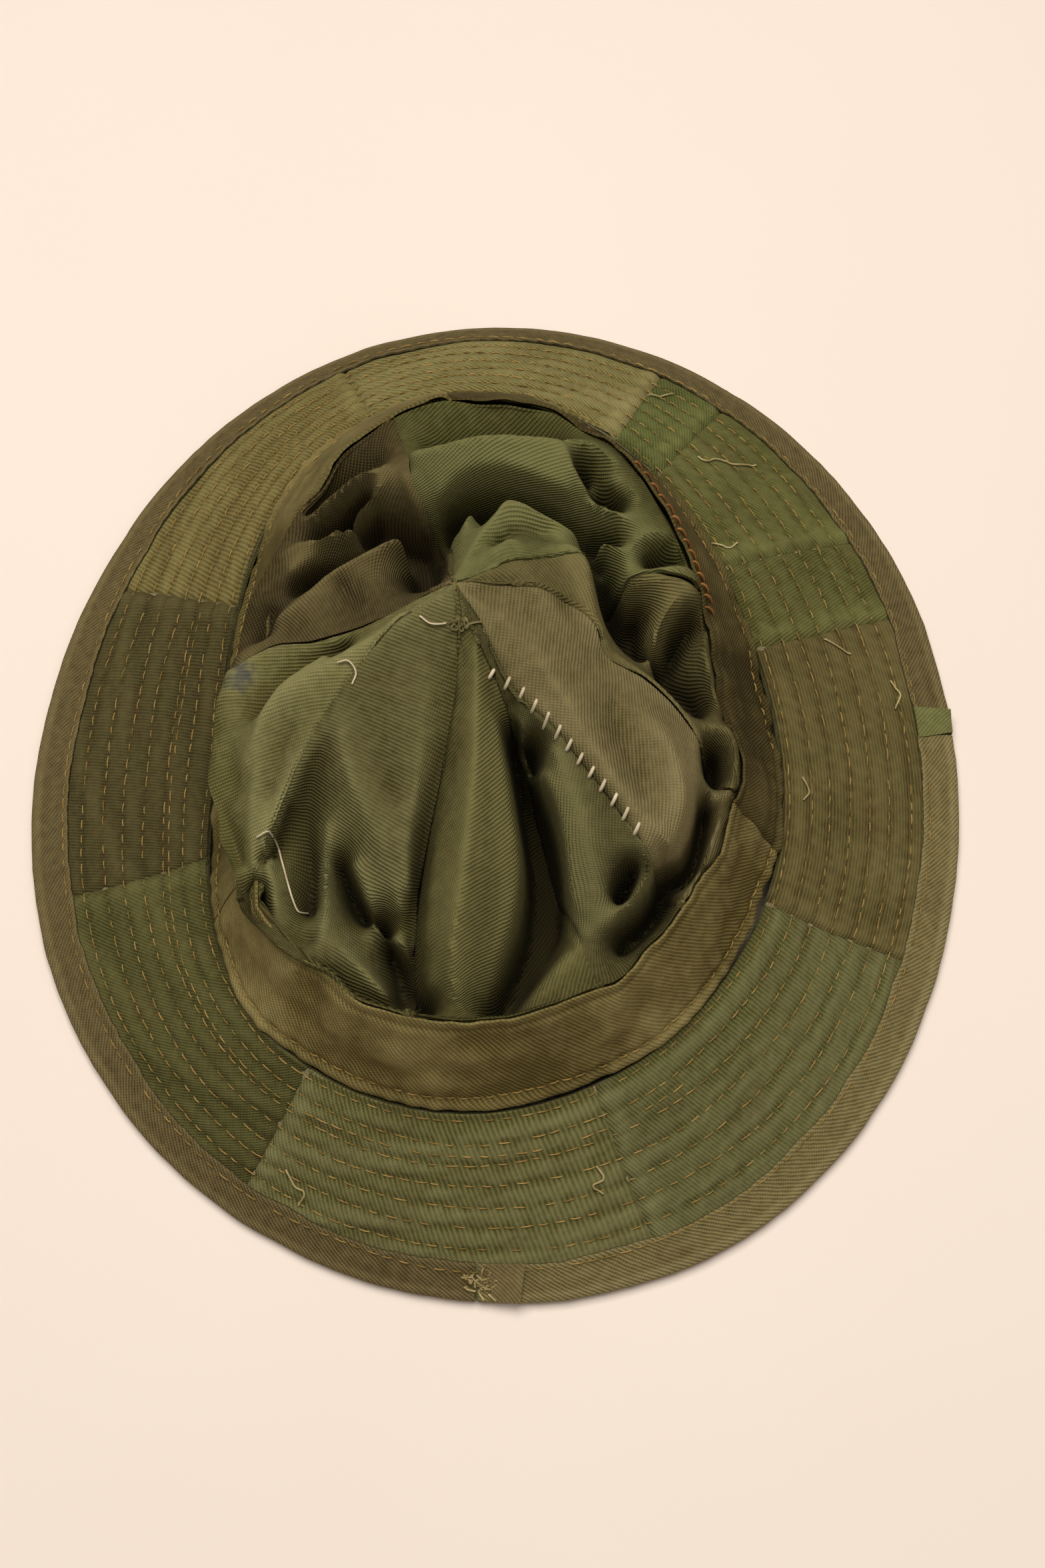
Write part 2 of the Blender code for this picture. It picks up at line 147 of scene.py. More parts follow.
# The folds that the crown has slumped into: lines along the cloth, each (x, y, height) in millimetres.
# They are a list of points, not worked out from the dimensions above, and every height is an estimate.
CROWN_FOLDS = {
    "green crest": [(-12, 21, 92), (-27, 13, 87), (-49, 3, 79), (-64, -8, 68), (-69, -14, 63)],
    "green back": [(-15, 22, 88), (-34, 17, 77), (-50, 15, 69), (-59, 21, 64), (-73, 15, 60)],
    "left outside": [(-74, 12, 61), (-79, -3, 56), (-75, -25, 54), (-69, -43, 52)],
    "green lower edge": [(-41, -2, 80), (-52, -18, 72), (-59, -34, 64), (-62, -40, 60)],
    "green side": [(-62, -10, 69), (-66, -28, 63), (-65, -47, 57)],
    "green dip": [(-56, -9, 71), (-61, -26, 63)],
    "left dip": [(-73, -11, 58), (-70, -25, 57)],
    "front left valley": [(-45, -15, 74), (-51, -28, 58), (-50, -45, 46), (-50, -56, 42)],
    "side valley": [(-55, -29, 57), (-62, -43, 48)],
    "front left fold": [(-42, -8, 79), (-39, -25, 76), (-30, -43, 71), (-25, -58, 63)],
    "front left groove": [(-33, -1, 82), (-29, -21, 76), (-27, -31, 73)],
    "second fold": [(-18, 2, 85), (-20, -23, 79), (-23, -44, 72), (-23, -54, 67)],
    "second fold foot": [(-38, -46, 65), (-32, -60, 60), (-23, -68, 58)],
    "flap": [(-45, -36, 66), (-45, -58, 63), (-47, -71, 60), (-53, -83, 56)],
    "flap side": [(-42, -67, 60), (-29, -79, 54)],
    "black valley": [(-42, -44, 50), (-37, -54, 39), (-28, -65, 35), (-25, -80, 37)],
    "curl crease": [(-50, -79, 53), (-45, -76, 51), (-35, -80, 49), (-28, -83, 46)],
    "curl": [(-51, -85, 56), (-42, -84, 58), (-31, -88, 58)],
    "left flap": [(-62, -38, 61), (-58, -58, 57), (-49, -66, 56)],
    "left pocket": [(-65, -49, 44), (-63, -58, 43)],
    "tube valley": [
        (-9, 9, 87), (-14, -22, 75), (-19, -44, 63), (-22, -63, 52), (-23, -75, 41), (-18, -85, 39),
    ],
    "tube": [(-5, 9, 90), (-5, -21, 86), (-8, -51, 81), (-11, -75, 74), (-9, -89, 60)],
    "tube left side": [(-13, -25, 77), (-17, -57, 70), (-17, -79, 61)],
    "tube right side": [(-1, -3, 84), (2, -20, 78), (6, -43, 70), (6, -54, 66), (3, -66, 62), (-4, -84, 56)],
    "great valley": [(5, -12, 50), (8, -29, 38), (10, -45, 33), (9, -60, 33), (5, -73, 35), (-1, -87, 38)],
    "great valley's right": [
        (8, -15, 48), (13, -30, 38), (17, -45, 34), (17, -58, 34), (11, -69, 36), (3, -83, 38),
    ],
    "hanging edge": [(4, -7, 79), (10, -21, 76), (16, -35, 74), (19, -52, 67), (22, -62, 60)],
    "hanging middle": [(15, -19, 80), (22, -39, 76), (26, -52, 69), (24, -59, 64)],
    "hanging end": [(37, -42, 72), (31, -47, 67), (28, -58, 64)],
    "small hollow": [(37, -47, 48), (33, -54, 40)],
    "narrow roll": [(38, -43, 72), (40, -50, 69), (31, -61, 64), (22, -65, 60)],
    "lower hollow": [(46, -47, 35), (42, -56, 34), (33, -66, 39)],
    "gore corner": [(22, -66, 59), (25, -74, 58), (28, -78, 57)],
    "lower right": [(19, -69, 58), (7, -84, 57), (4, -89, 56)],
    "lower right foot": [(16, -66, 42), (10, -73, 38), (1, -86, 39)],
    "right slope": [(61, -30, 55), (50, -55, 56), (35, -72, 57)],
    "stitched crest": [(-9, 21, 92), (8, 6, 89), (22, -14, 84), (34, -32, 79), (46, -43, 71)],
    "stitched start": [(-7, 10, 88), (0, -2, 85)],
    "stitched edge": [(3, -4, 83), (15, -14, 81), (28, -30, 77), (37, -40, 74)],
    "stitched far side": [(25, 34, 83), (27, 17, 81), (28, 10, 80)],
    "stitched near side": [(30, -1, 79), (33, -15, 76), (40, -30, 74)],
    "right hollow": [(29, 43, 48), (31, 39, 32), (33, 30, 27), (37, 24, 30)],
    "bulge top": [(29, 9, 78), (41, 4, 72), (52, -5, 65), (55, -8, 62)],
    "bulge back foot": [(40, 22, 32), (53, 12, 29), (57, 4, 34)],
    "bulge": [(32, -2, 78), (44, -13, 76), (50, -29, 74), (47, -42, 67)],
    "bulge outside": [(55, -9, 62), (53, -30, 65), (49, -43, 58)],
    "bulge foot": [(57, -25, 38), (54, -42, 34), (48, -46, 36)],
    "loop": [(57, -4, 56), (65, -5, 55), (65, -21, 54), (56, -26, 56)],
    "loop hole": [(60, -9, 30), (60, -17, 29)],
    "brown roll": [(-61, 25, 65), (-53, 29, 70), (-45, 35, 74), (-36, 39, 77), (-26, 44, 79)],
    "brown roll foot": [(-44, 47, 46), (-38, 51, 40), (-29, 54, 40)],
    "brown crease": [(-43, 33, 67), (-39, 27, 69), (-36, 20, 74)],
    "brown plane": [(-58, 41, 62), (-51, 46, 61)],
    "brown gap": [(-58, 37, 50), (-49, 43, 41), (-38, 48, 36), (-28, 51, 35)],
    "back left gap": [(-52, 51, 44), (-42, 56, 37), (-34, 61, 38)],
    "back left ridge": [(-60, 47, 61), (-52, 50, 65), (-44, 53, 68)],
    "tip hollow": [(-24, 33, 62), (-23, 42, 42), (-23, 52, 34)],
    "tip pocket": [(-19, 34, 62), (-19, 43, 40), (-20, 52, 33)],
    "arch gap": [(-14, 60, 42), (-4, 61, 36), (6, 61, 36), (16, 58, 38)],
    "hood gap": [(2, 56, 50), (12, 53, 46), (22, 51, 44), (30, 46, 44)],
    "back rim crease": [(-20, 78, 58), (-6, 80, 58), (8, 80, 58), (20, 78, 58)],
    "back right gap": [(43, 45, 46), (50, 46, 44)],
    "far back crease": [(-34, 75, 56), (-44, 69, 52), (-54, 61, 52)],
    "left back crease": [(-66, 22, 50), (-63, 32, 50)],
    "left flank dip": [(-40, 13, 68), (-54, 6, 63), (-66, -3, 57)],
    "left flank roll": [(-46, 9, 78), (-60, 0, 73), (-68, -18, 65)],
    "hood dip": [(0, 36, 83), (6, 43, 80), (14, 44, 77)],
    "back left roll": [(-53, 58, 62), (-41, 67, 69), (-34, 69, 70)],
    "back left hollow": [(-50, 54, 38), (-44, 60, 35), (-37, 65, 41)],
    "back left fold": [(-32, 71, 69), (-32, 66, 68), (-38, 60, 67), (-43, 54, 65), (-45, 51, 62)],
    "back hollow": [(-30, 58, 36), (-20, 55, 35)],
    "arch seam": [(-25, 71, 69), (-25, 65, 67), (-21, 60, 61)],
    "arch": [(-24, 72, 73), (-6, 74, 79), (8, 75, 78), (18, 74, 76), (22, 66, 73), (26, 61, 67)],
    "arch near edge": [(-17, 62, 66), (-8, 67, 73), (5, 67, 74), (20, 62, 70)],
    "arch hollow": [(-13, 57, 38), (4, 60, 38), (12, 57, 40), (22, 55, 41)],
    "upright": [(-7, 58, 66), (-9, 49, 74), (-10, 36, 82), (-11, 26, 89)],
    "upright left side": [(-12, 48, 68), (-12, 37, 76)],
    "upright foot": [(-17, 54, 38), (-17, 47, 42), (-17, 36, 58), (-17, 27, 80)],
    "upright right side": [(-3, 55, 60), (-3, 48, 68)],
    "hood back": [(-12, 23, 91), (-1, 45, 87), (4, 51, 86), (14, 48, 82), (22, 45, 77)],
    "hood front": [(-11, 24, 91), (-2, 32, 91), (4, 37, 90), (11, 34, 87), (20, 38, 84), (25, 34, 83)],
    "hood crease": [(-8, 31, 88), (-1, 40, 86), (8, 41, 82), (15, 41, 80), (18, 42, 79)],
    "pleat": [(-8, 22, 92), (2, 27, 92), (8, 26, 91), (17, 15, 87)],
    "pleat crease": [(-6, 20, 90), (3, 23, 90), (11, 18, 88)],
    "top dent": [(18, 21, 83), (23, 14, 83)],
    "second arch": [(26, 60, 68), (33, 57, 67), (38, 55, 64)],
    "second arch crease": [(26, 54, 42), (33, 51, 43)],
    "small roll": [(29, 49, 66), (35, 46, 64)],
    "far right": [(19, 77, 73), (27, 75, 72), (34, 71, 69)],
    "far right crease": [(23, 72, 55), (25, 69, 48)],
    "upper right loop": [(32, 67, 67), (39, 62, 66), (39, 58, 64)],
    "upper right crease": [(28, 64, 46), (34, 61, 42)],
    "back right fork": [(48, 52, 63), (41, 50, 65), (37, 46, 62), (36, 41, 60)],
    "back right ridge": [(36, 38, 62), (42, 39, 65), (52, 41, 65), (56, 39, 63)],
    "curved roll": [(56, 35, 61), (49, 31, 60), (45, 26, 58), (42, 15, 53)],
    "curved roll foot": [(55, 30, 40), (50, 25, 33), (48, 17, 32)],
    "inner hollow": [(39, 33, 32), (39, 23, 29)],
    "right roll": [(60, 28, 58), (58, 20, 58), (60, 9, 57), (62, 2, 55)],
    "right roll crease": [(52, 14, 32), (56, 6, 33)],
}
FIELD_STEP = 0.5
FIELD_REACH = (96, 112)
FOLD_SOFTNESS = 0.6
PUFF = 0.012
LEFT_OVERHANG = 13.5
OVERHANG_BEARING = 188
OVERHANG_SPREAD = 34
OVERHANG_LIFT = 5
FOOT_INSET = 0.9
FOOT_DROP = 0.6
FOOT_HANG = 3.5
FOOT_HANG_SHARE = 1.5
GORE_COLUMN = 0.75
CROWN_ROWS = 120
TIP_OPENING = 0.02

# Rounds that even out the crown's rows over its folds; a gore runs from the tip down behind the sweatband
RELAX_ROUNDS = 260


# Shapes of the brim, sweatband and crown's foot, all taking bearings as arrays


def lumps(x, y, size, seed):
    """Smooth random values from -1 to 1, in lumps about size across."""
    values = np.random.default_rng(seed).uniform(-1, 1, (61, 61))
    x, y = np.asarray(x) / size, np.asarray(y) / size
    i, j = np.floor(x).astype(int), np.floor(y).astype(int)
    u, v = x - i, y - j
    u, v = u * u * (3 - 2 * u), v * v * (3 - 2 * v)
    i, j, k, m = i % 61, j % 61, (i + 1) % 61, (j + 1) % 61
    near = values[i, j] * (1 - u) + values[k, j] * u
    return near * (1 - v) + (values[i, m] * (1 - u) + values[k, m] * u) * v


def bell(off, spread):
    """1 in the middle, falling away to 0 on both sides of it."""
    return np.exp(-((off / spread) ** 2))


def opening_radius(bearing):
    """The head opening's radius in plan."""
    b = np.radians(bearing)
    oval = OPENING_RADIUS - OPENING_SHIFT * np.cos(b) - OPENING_OVAL * np.cos(2 * b)
    return oval + OPENING_SQUARED * np.cos(3 * b) - OPENING_SKEW * np.sin(3 * b)


def edge_radius(bearing):
    """The radius in plan of the brim's cloth inside its binding."""
    b = np.radians(bearing)
    oval = BRIM_RADIUS - BRIM_OVAL * np.cos(2 * b) - BRIM_LOPSIDED * (np.cos(3 * b) + np.sin(3 * b))
    return oval + BRIM_RIPPLE * np.sin(4 * b) - TAPE - TAPE_SPARE


def around(bearing, middle, spread):
    """1 at a middle bearing, falling away to 0 on both sides of it."""
    off = (np.asarray(bearing) - middle + 180) % 360 - 180
    return bell(off, spread)


def joint_height(bearing):
    """The height of the joint between brim and crown."""
    b = np.radians(bearing)
    wave = WAVE_RISE * around(bearing, WAVE_BEARING, WAVE_SPREAD)
    return JOINT_HEIGHT - JOINT_OVAL * np.cos(2 * b) + JOINT_TILT * np.sin(b) + wave


def joint_length(first, last):
    """Length of the oval joint, in metres, between the bearings of two plan points, anticlockwise."""
    start, end = (math.degrees(math.atan2(y, x)) for x, y in (first, last))
    bearing = np.linspace(start, start + (end - start) % 360, 91)
    line = polar(bearing, opening_radius(bearing), joint_height(bearing))
    return float(np.linalg.norm(np.diff(line, axis=0), axis=1).sum())


def polar(bearing, radius, height):
    """Points from bearings in degrees, radii and heights."""
    b = np.radians(bearing)
    return np.stack(np.broadcast_arrays(radius * np.cos(b), radius * np.sin(b), height), -1)


def brim_slope(bearing):
    """The angle, in radians, at which the brim slopes down and out."""
    return np.arctan2(joint_height(bearing) - EDGE_HEIGHT, edge_radius(bearing) - opening_radius(bearing))


def brim_point(bearing, across, lift):
    """A point of the brim, from 0 at the head opening to 1 at the edge, lifted square to the cloth."""
    slope = brim_slope(bearing)
    inner = opening_radius(bearing)
    radius = inner + (edge_radius(bearing) - inner) * across + lift * np.sin(slope)
    height = EDGE_HEIGHT + (joint_height(bearing) - EDGE_HEIGHT) * (1 - across) + lift * np.cos(slope)
    return polar(bearing, radius, height)


def band_point(bearing, up, lift):
    """A point of the sweatband, from 0 at the brim's joint to 1 at its upper edge."""
    arc = np.asarray(bearing) % 360 * BAND_ARC
    wave = BAND_WAVE * lumps(arc, arc * 0, BAND_WAVE_SIZE, 88)
    wave = wave + BAND_RIPPLE * lumps(arc, arc * 0, BAND_RIPPLE_SIZE, 89)
    radius = opening_radius(bearing) - BAND_INSET - up * BAND_WIDTH * BAND_LEAN + wave * up * up * MM
    height = joint_height(bearing) + BAND_INSET + up * BAND_WIDTH * BAND_RISE
    return polar(bearing, radius + lift * BAND_RISE, height + lift * BAND_LEAN)


def overhang(bearing):
    """How far the crown bulges out over the sweatband, in millimetres: only on the left."""
    return LEFT_OVERHANG * around(bearing, OVERHANG_BEARING, OVERHANG_SPREAD)


def crown_foot(bearing):
    """The crown's outline in millimetres where it meets the sweatband: radius and height."""
    top = band_point(bearing, 1.0, 0) / MM
    over = overhang(bearing)
    radius = np.hypot(top[..., 0], top[..., 1]) - FOOT_INSET + over
    return radius, top[..., 2] - FOOT_DROP + np.minimum(over, OVERHANG_LIFT)


# Numbers for cloth


def smooth_line(points, pieces=14):
    """A smooth curve through points: Catmull-Rom, with the given number of pieces between two points."""
    points = np.array(points, float)
    padded = np.vstack([2 * points[0] - points[1], points, 2 * points[-1] - points[-2]])
    t = np.arange(pieces)[:, None] / pieces
    spans = []
    for a, b, c, d in zip(padded, padded[1:], padded[2:], padded[3:]):
        bend, twist = 2 * a - 5 * b + 4 * c - d, 3 * b - a - 3 * c + d
        spans.append((2 * b + (c - a) * t + bend * t**2 + twist * t**3) / 2)
    return np.vstack([*spans, points[-1:]])


def even_line(points, count):
    """The same line with count points, evenly spaced along it."""
    steps = np.linalg.norm(np.diff(points, axis=0), axis=1)
    along = np.concatenate([[0], np.cumsum(steps)])
    wanted = np.linspace(0, along[-1], count)
    return np.stack([np.interp(wanted, along, points[:, k]) for k in range(points.shape[1])], -1)


def close_line(points):
    """The same line with points close enough to leave no gap on the field's grid."""
    length = np.linalg.norm(np.diff(points, axis=0), axis=1).sum()
    return even_line(points, int(2 * length / FIELD_STEP) + 2)


def blurred(grid, cells):
    """A grid of values smoothed over a number of cells each way."""
    reach = int(3 * cells) + 1
    weights = np.exp(-0.5 * (np.arange(-reach, reach + 1) / cells) ** 2)
    weights /= weights.sum()
    for axis in (0, 1):
        padded = np.pad(grid, [(reach, reach) if a == axis else (0, 0) for a in (0, 1)], mode="edge")
        grid = sum(w * np.take(padded, range(k, k + grid.shape[axis]), axis) for k, w in enumerate(weights))
    return grid


class HeightField:
    """The crown's heights on a square grid, in millimetres."""

    def __init__(self, values, step):
        self.values = values
        self.step = step

    def at(self, x, y):
        i = np.clip((np.asarray(y) + FIELD_REACH[1]) / self.step, 0, self.values.shape[0] - 1.001)
        j = np.clip((np.asarray(x) + FIELD_REACH[0]) / self.step, 0, self.values.shape[1] - 1.001)
        a, b = i.astype(int), j.astype(int)
        u, v = i - a, j - b
        low = self.values[a, b] * (1 - v) + self.values[a, b + 1] * v
        high = self.values[a + 1, b] * (1 - v) + self.values[a + 1, b + 1] * v
        return low * (1 - u) + high * u


def field_places(step):
    xs = np.arange(-FIELD_REACH[0], FIELD_REACH[0] + step / 2, step)
    ys = np.arange(-FIELD_REACH[1], FIELD_REACH[1] + step / 2, step)
    return np.meshgrid(xs, ys)


def stretched_field():
    """Cloth pulled tight over the fold lines and down to the sweatband, from a coarse grid to a fine one."""
    lines = np.vstack([close_line(smooth_line(points)) for points in CROWN_FOLDS.values()])
    field = None
    for step, rounds in ((8, 300), (4, 300), (2, 300), (1, 200), (FIELD_STEP, 120)):
        x, y = field_places(step)
        foot_radius, foot_height = crown_foot(np.degrees(np.arctan2(y, x)))
        outside = np.hypot(x, y) > foot_radius
        row = np.rint((lines[:, 1] + FIELD_REACH[1]) / step).astype(int)
        column = np.rint((lines[:, 0] + FIELD_REACH[0]) / step).astype(int)
        total, count = np.zeros(x.shape), np.zeros(x.shape)
        np.add.at(total, (row, column), lines[:, 2])
        np.add.at(count, (row, column), 1)
        held = (count > 0) | outside
        fixed = np.where(count > 0, total / np.maximum(count, 1), foot_height)
        start = 60.0 if field is None else field.at(x, y)
        z = np.where(held, fixed, start)
        for _ in range(rounds):
            mean = (np.roll(z, 1, 0) + np.roll(z, -1, 0) + np.roll(z, 1, 1) + np.roll(z, -1, 1)) / 4
            z = np.where(held, fixed, mean + PUFF * step * step / 4)
        field = HeightField(z, step)
    x, y = field_places(FIELD_STEP)
    z = blurred(field.values, FOLD_SOFTNESS / FIELD_STEP)
    z += 0.45 * lumps(x, y, 7, 11) + 0.22 * lumps(x + y, x - y, 3.2, 12)
    return HeightField(z, FIELD_STEP)


# Materials


# A near-black painted shade for the cloth deep in its folds, and a blot of ink: their colours, and the blot's
# middle in metres
PAINTED_FOLD_SHADE = "#1d190d"
INK = "#2f3550"
INK_BLOT = (-0.0705, 0.0095, 0.0600)

# A wave texture's scale that gives one rib to a millimetre
WAVE_PER_RIB = 0.31416


def linear(colour):
    """An sRGB hex colour as linear RGBA."""
    channels = [int(colour[i : i + 2], 16) / 255 for i in (1, 3, 5)]
    return (*[c / 12.92 if c <= 0.04045 else ((c + 0.055) / 1.055) ** 2.4 for c in channels], 1)


def add(tree, kind, sockets=None, **settings):
    """Adds a node with its settings; sockets gives each input a value or the output that feeds it."""
    node = tree.nodes.new(kind)
    for name, value in settings.items():
        setattr(node, name, value)
    for socket, value in (sockets or {}).items():
        if isinstance(value, bpy.types.NodeSocket):
            tree.links.new(value, node.inputs[socket])
        else:
            node.inputs[socket].default_value = value
    return node


def new_material(name, roughness):
    material = bpy.data.materials.new(name)
    material.use_nodes = True
    shader = material.node_tree.nodes["Principled BSDF"]
    shader.inputs["Roughness"].default_value = roughness
    shader.inputs["Specular IOR Level"].default_value = 0.08
    return material, material.node_tree, shader


def mixed(tree, factor, a, b):
    """Two colours blended; on a colour Mix node the factor, A and B are sockets 0, 6 and 7."""
    return add(tree, "ShaderNodeMix", {0: factor, 6: a, 7: b}, data_type="RGBA").outputs[2]


def ranged(tree, value, low, high, least=0.0, most=1.0):
    """A value stretched from the range low to high onto the range least to most."""
    sockets = {"Value": value, "From Min": low, "From Max": high, "To Min": least, "To Max": most}
    return add(tree, "ShaderNodeMapRange", sockets).outputs[0]


def noise(tree, place, scale, detail):
    return add(tree, "ShaderNodeTexNoise", {"Vector": place, "Scale": scale, "Detail": detail}).outputs["Fac"]


def scaled_sum(tree, value, factor, other):
    """A value times a factor, plus another value."""
    return add(tree, "ShaderNodeMath", {0: value, 1: factor, 2: other}, operation="MULTIPLY_ADD").outputs[0]


def raised(tree, shader, height, strength, distance):
    """Gives a material relief, with distance in metres."""
    bump = add(tree, "ShaderNodeBump", {"Height": height, "Strength": strength, "Distance": distance})
    tree.links.new(bump.outputs[0], shader.inputs["Normal"])


def worn_twill(name, colour, dark, pale, turn=45, pitch=1.0, relief=0.22, stain=0.5, stain_colour="#4a3a22",
               ink=None):
    """Washed cotton twill: matt and ribbed, faded where rubbed, brown where soiled, with painted shade in
    deep folds.

    turn is the ribs' slant in the cloth in degrees and pitch their spacing in millimetres. Real ribs are
    about 0.75 mm apart, and they are drawn a little coarser so that they show. A mesh attribute runs from 1
    where the cloth is rubbed to -0.9 where it lies deep in a fold: high values are pale wear, and low ones
    lay a near-black painted shade over up to 0.8 of its colour. ink is the middle of a blot of ink, if there
    is one.
    """
    material, tree, shader = new_material(name, 1.0)
    cloth = add(tree, "ShaderNodeUVMap", uv_map="cloth").outputs["UV"]
    turned = add(tree, "ShaderNodeMapping", {"Vector": cloth, "Rotation": (0, 0, math.radians(turn))})
    wave = WAVE_PER_RIB / pitch
    sockets = {
        "Vector": turned.outputs[0], "Scale": wave, "Distortion": 1.2, "Detail": 2.0, "Detail Scale": 1.4,
    }
    ribs = add(tree, "ShaderNodeTexWave", sockets, bands_direction="X").outputs["Fac"]
    sockets = {"Vector": turned.outputs[0], "Scale": wave * 1.35, "Distortion": 2.0, "Detail": 1.0}
    picks = add(tree, "ShaderNodeTexWave", sockets, bands_direction="Y").outputs["Fac"]
    weave = scaled_sum(tree, picks, 0.35, ribs)
    fuzz = noise(tree, cloth, 2.2, 3.0)
    patches = noise(tree, cloth, 0.055, 5.0)
    streaks = noise(tree, cloth, 0.35, 4.0)
    wear_and_painted_shade = add(tree, "ShaderNodeAttribute", attribute_name="wear_and_painted_shade").outputs["Fac"]

    base = mixed(tree, ranged(tree, weave, 0.15, 1.2), linear(dark), linear(colour))
    soiled = mixed(tree, ranged(tree, patches, 0.48, 0.72, 0.0, stain), base, linear(stain_colour))
    # Painted shade: near-black over up to 0.8 of the colour where the attribute falls below 0.05, deep in
    # folds
    shaded_in_folds = mixed(tree, ranged(tree, wear_and_painted_shade, 0.05, -0.9, 0.0, 0.8), soiled, linear(PAINTED_FOLD_SHADE))
    rubbed = scaled_sum(tree, streaks, 0.7, wear_and_painted_shade)
    tint = mixed(tree, ranged(tree, rubbed, 0.45, 1.3, 0.0, 0.85), shaded_in_folds, linear(pale))
    if ink:
        place = add(tree, "ShaderNodeTexCoord").outputs["Object"]
        far = add(tree, "ShaderNodeVectorMath", {0: place, 1: ink}, operation="DISTANCE").outputs["Value"]
        ragged = scaled_sum(tree, streaks, 0.012, far)
        tint = mixed(tree, ranged(tree, ragged, 0.0075, 0.0115, 0.5, 0.0), tint, linear(INK))
    tree.links.new(tint, shader.inputs["Base Color"])
    raised(tree, shader, scaled_sum(tree, fuzz, 0.5, weave), 0.9, relief * MM)
    return material


def spun_thread(name, colour, dark):
    """Cotton sewing thread: matt and fuzzy, uneven in colour along its length."""
    material, tree, shader = new_material(name, 0.9)
    place = add(tree, "ShaderNodeTexCoord").outputs["Object"]
    uneven = noise(tree, place, 160.0, 3.0)
    tint = mixed(tree, ranged(tree, uneven, 0.35, 0.65), linear(dark), linear(colour))
    tree.links.new(tint, shader.inputs["Base Color"])
    raised(tree, shader, noise(tree, place, 2500.0, 2.0), 0.5, 0.1 * MM)
    return material


# Pieces


def link_mesh(name, verts, faces, material):
    mesh = bpy.data.meshes.new(name)
    mesh.from_pydata(np.asarray(verts).reshape(-1, 3).tolist(), [], faces)
    mesh.materials.append(material)
    piece = bpy.data.objects.new(name, mesh)
    scene.collection.objects.link(piece)
    return piece


def only(piece):
    """Makes a piece the only one selected, and the active one."""
    bpy.ops.object.select_all(action="DESELECT")
    piece.select_set(True)
    bpy.context.view_layer.objects.active = piece


def sewn_in(piece, slot, *nodes):
    """A finished piece: it rides on the hat and stands for CAD nodes, which it hides; slot is not used."""
    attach(piece, "root")
    if nodes:
        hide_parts(*nodes)


def flat_pattern(along, out):
    """A sheet's flat coordinates from its millimetres along and across."""
    return np.stack(np.broadcast_arrays(along, out), -1)


def add_cloth(name, points, pattern, wear_and_painted_shade, thickness, material):
    """A sheet of cloth whose face is a grid of points in metres, with rows running outwards.

    pattern holds the cloth's flat coordinates in millimetres, or None to unfold the sheet.
    """
    rows, columns = points.shape[:2]
    number = np.arange(rows * columns).reshape(rows, columns)
    corners = [number[:-1, :-1], number[1:, :-1], number[1:, 1:], number[:-1, 1:]]
    quads = np.stack(corners, -1).reshape(-1, 4)
    piece = link_mesh(name, points, quads.tolist(), material)
    mesh = piece.data
    rubbed = mesh.attributes.new("wear_and_painted_shade", "FLOAT", "POINT")
    rubbed.data.foreach_set("value", np.broadcast_to(wear_and_painted_shade, (rows, columns)).ravel().astype(np.float32))
    layer = mesh.uv_layers.new(name="cloth")
    if pattern is None:
        unfold(piece, number)
    else:
        layer.data.foreach_set("uv", pattern.reshape(-1, 2)[quads.ravel()].ravel().astype(np.float32))
    only(piece)
    solidify = piece.modifiers.new("thickness", "SOLIDIFY")
    solidify.thickness = thickness
    solidify.offset = -1
    bpy.ops.object.modifier_apply(modifier=solidify.name)
    bpy.ops.object.shade_smooth_by_angle(angle=math.radians(50))
    return piece


def unfold(piece, number):
    """Unwraps a sheet, and turns and scales its pattern: millimetres, with its first row at the top."""
    only(piece)
    bpy.ops.object.mode_set(mode="EDIT")
    bpy.ops.mesh.select_all(action="SELECT")
    bpy.ops.uv.unwrap(method="MINIMUM_STRETCH", margin=0.0)
    bpy.ops.object.mode_set(mode="OBJECT")
    mesh = piece.data
    layer = mesh.uv_layers["cloth"]
    flat = np.zeros(len(mesh.loops) * 2, np.float32)
    layer.data.foreach_get("uv", flat)
    flat = flat.reshape(-1, 2)
    vertex = np.zeros(len(mesh.loops), np.int32)
    mesh.loops.foreach_get("vertex_index", vertex)
    middle = [flat[np.isin(vertex, number[row])].mean(0) for row in (len(number) // 4, -len(number) // 4)]
    down = middle[1] - middle[0]
    angle = math.atan2(down[1], down[0]) + math.pi / 2
    turn = np.array([[math.cos(angle), -math.sin(angle)], [math.sin(angle), math.cos(angle)]])
    quads = flat.reshape(-1, 4, 2)
    a, b = quads[:, 2] - quads[:, 0], quads[:, 3] - quads[:, 1]
    flat_area = np.abs(a[:, 0] * b[:, 1] - a[:, 1] * b[:, 0]).sum() / 2
    size = math.sqrt(sum(face.area for face in mesh.polygons) / flat_area) / MM
    layer.data.foreach_set("uv", ((flat @ turn) * size).ravel().astype(np.float32))


def normals_of(points):
    """The cloth's outward direction at each point of a grid whose rows run outwards."""
    down = np.gradient(points, axis=0)
    along = np.gradient(points, axis=1)
    normal = np.cross(down, along)
    return normal / np.maximum(np.linalg.norm(normal, axis=2, keepdims=True), 1e-12)


DASH_RINGS = [(0.0, -0.35, 0.7), (0.16, 0.25, 1.0), (0.5, 0.6, 1.05), (0.84, 0.25, 1.0), (1.0, -0.35, 0.7)]
DASH_SIDES = 5


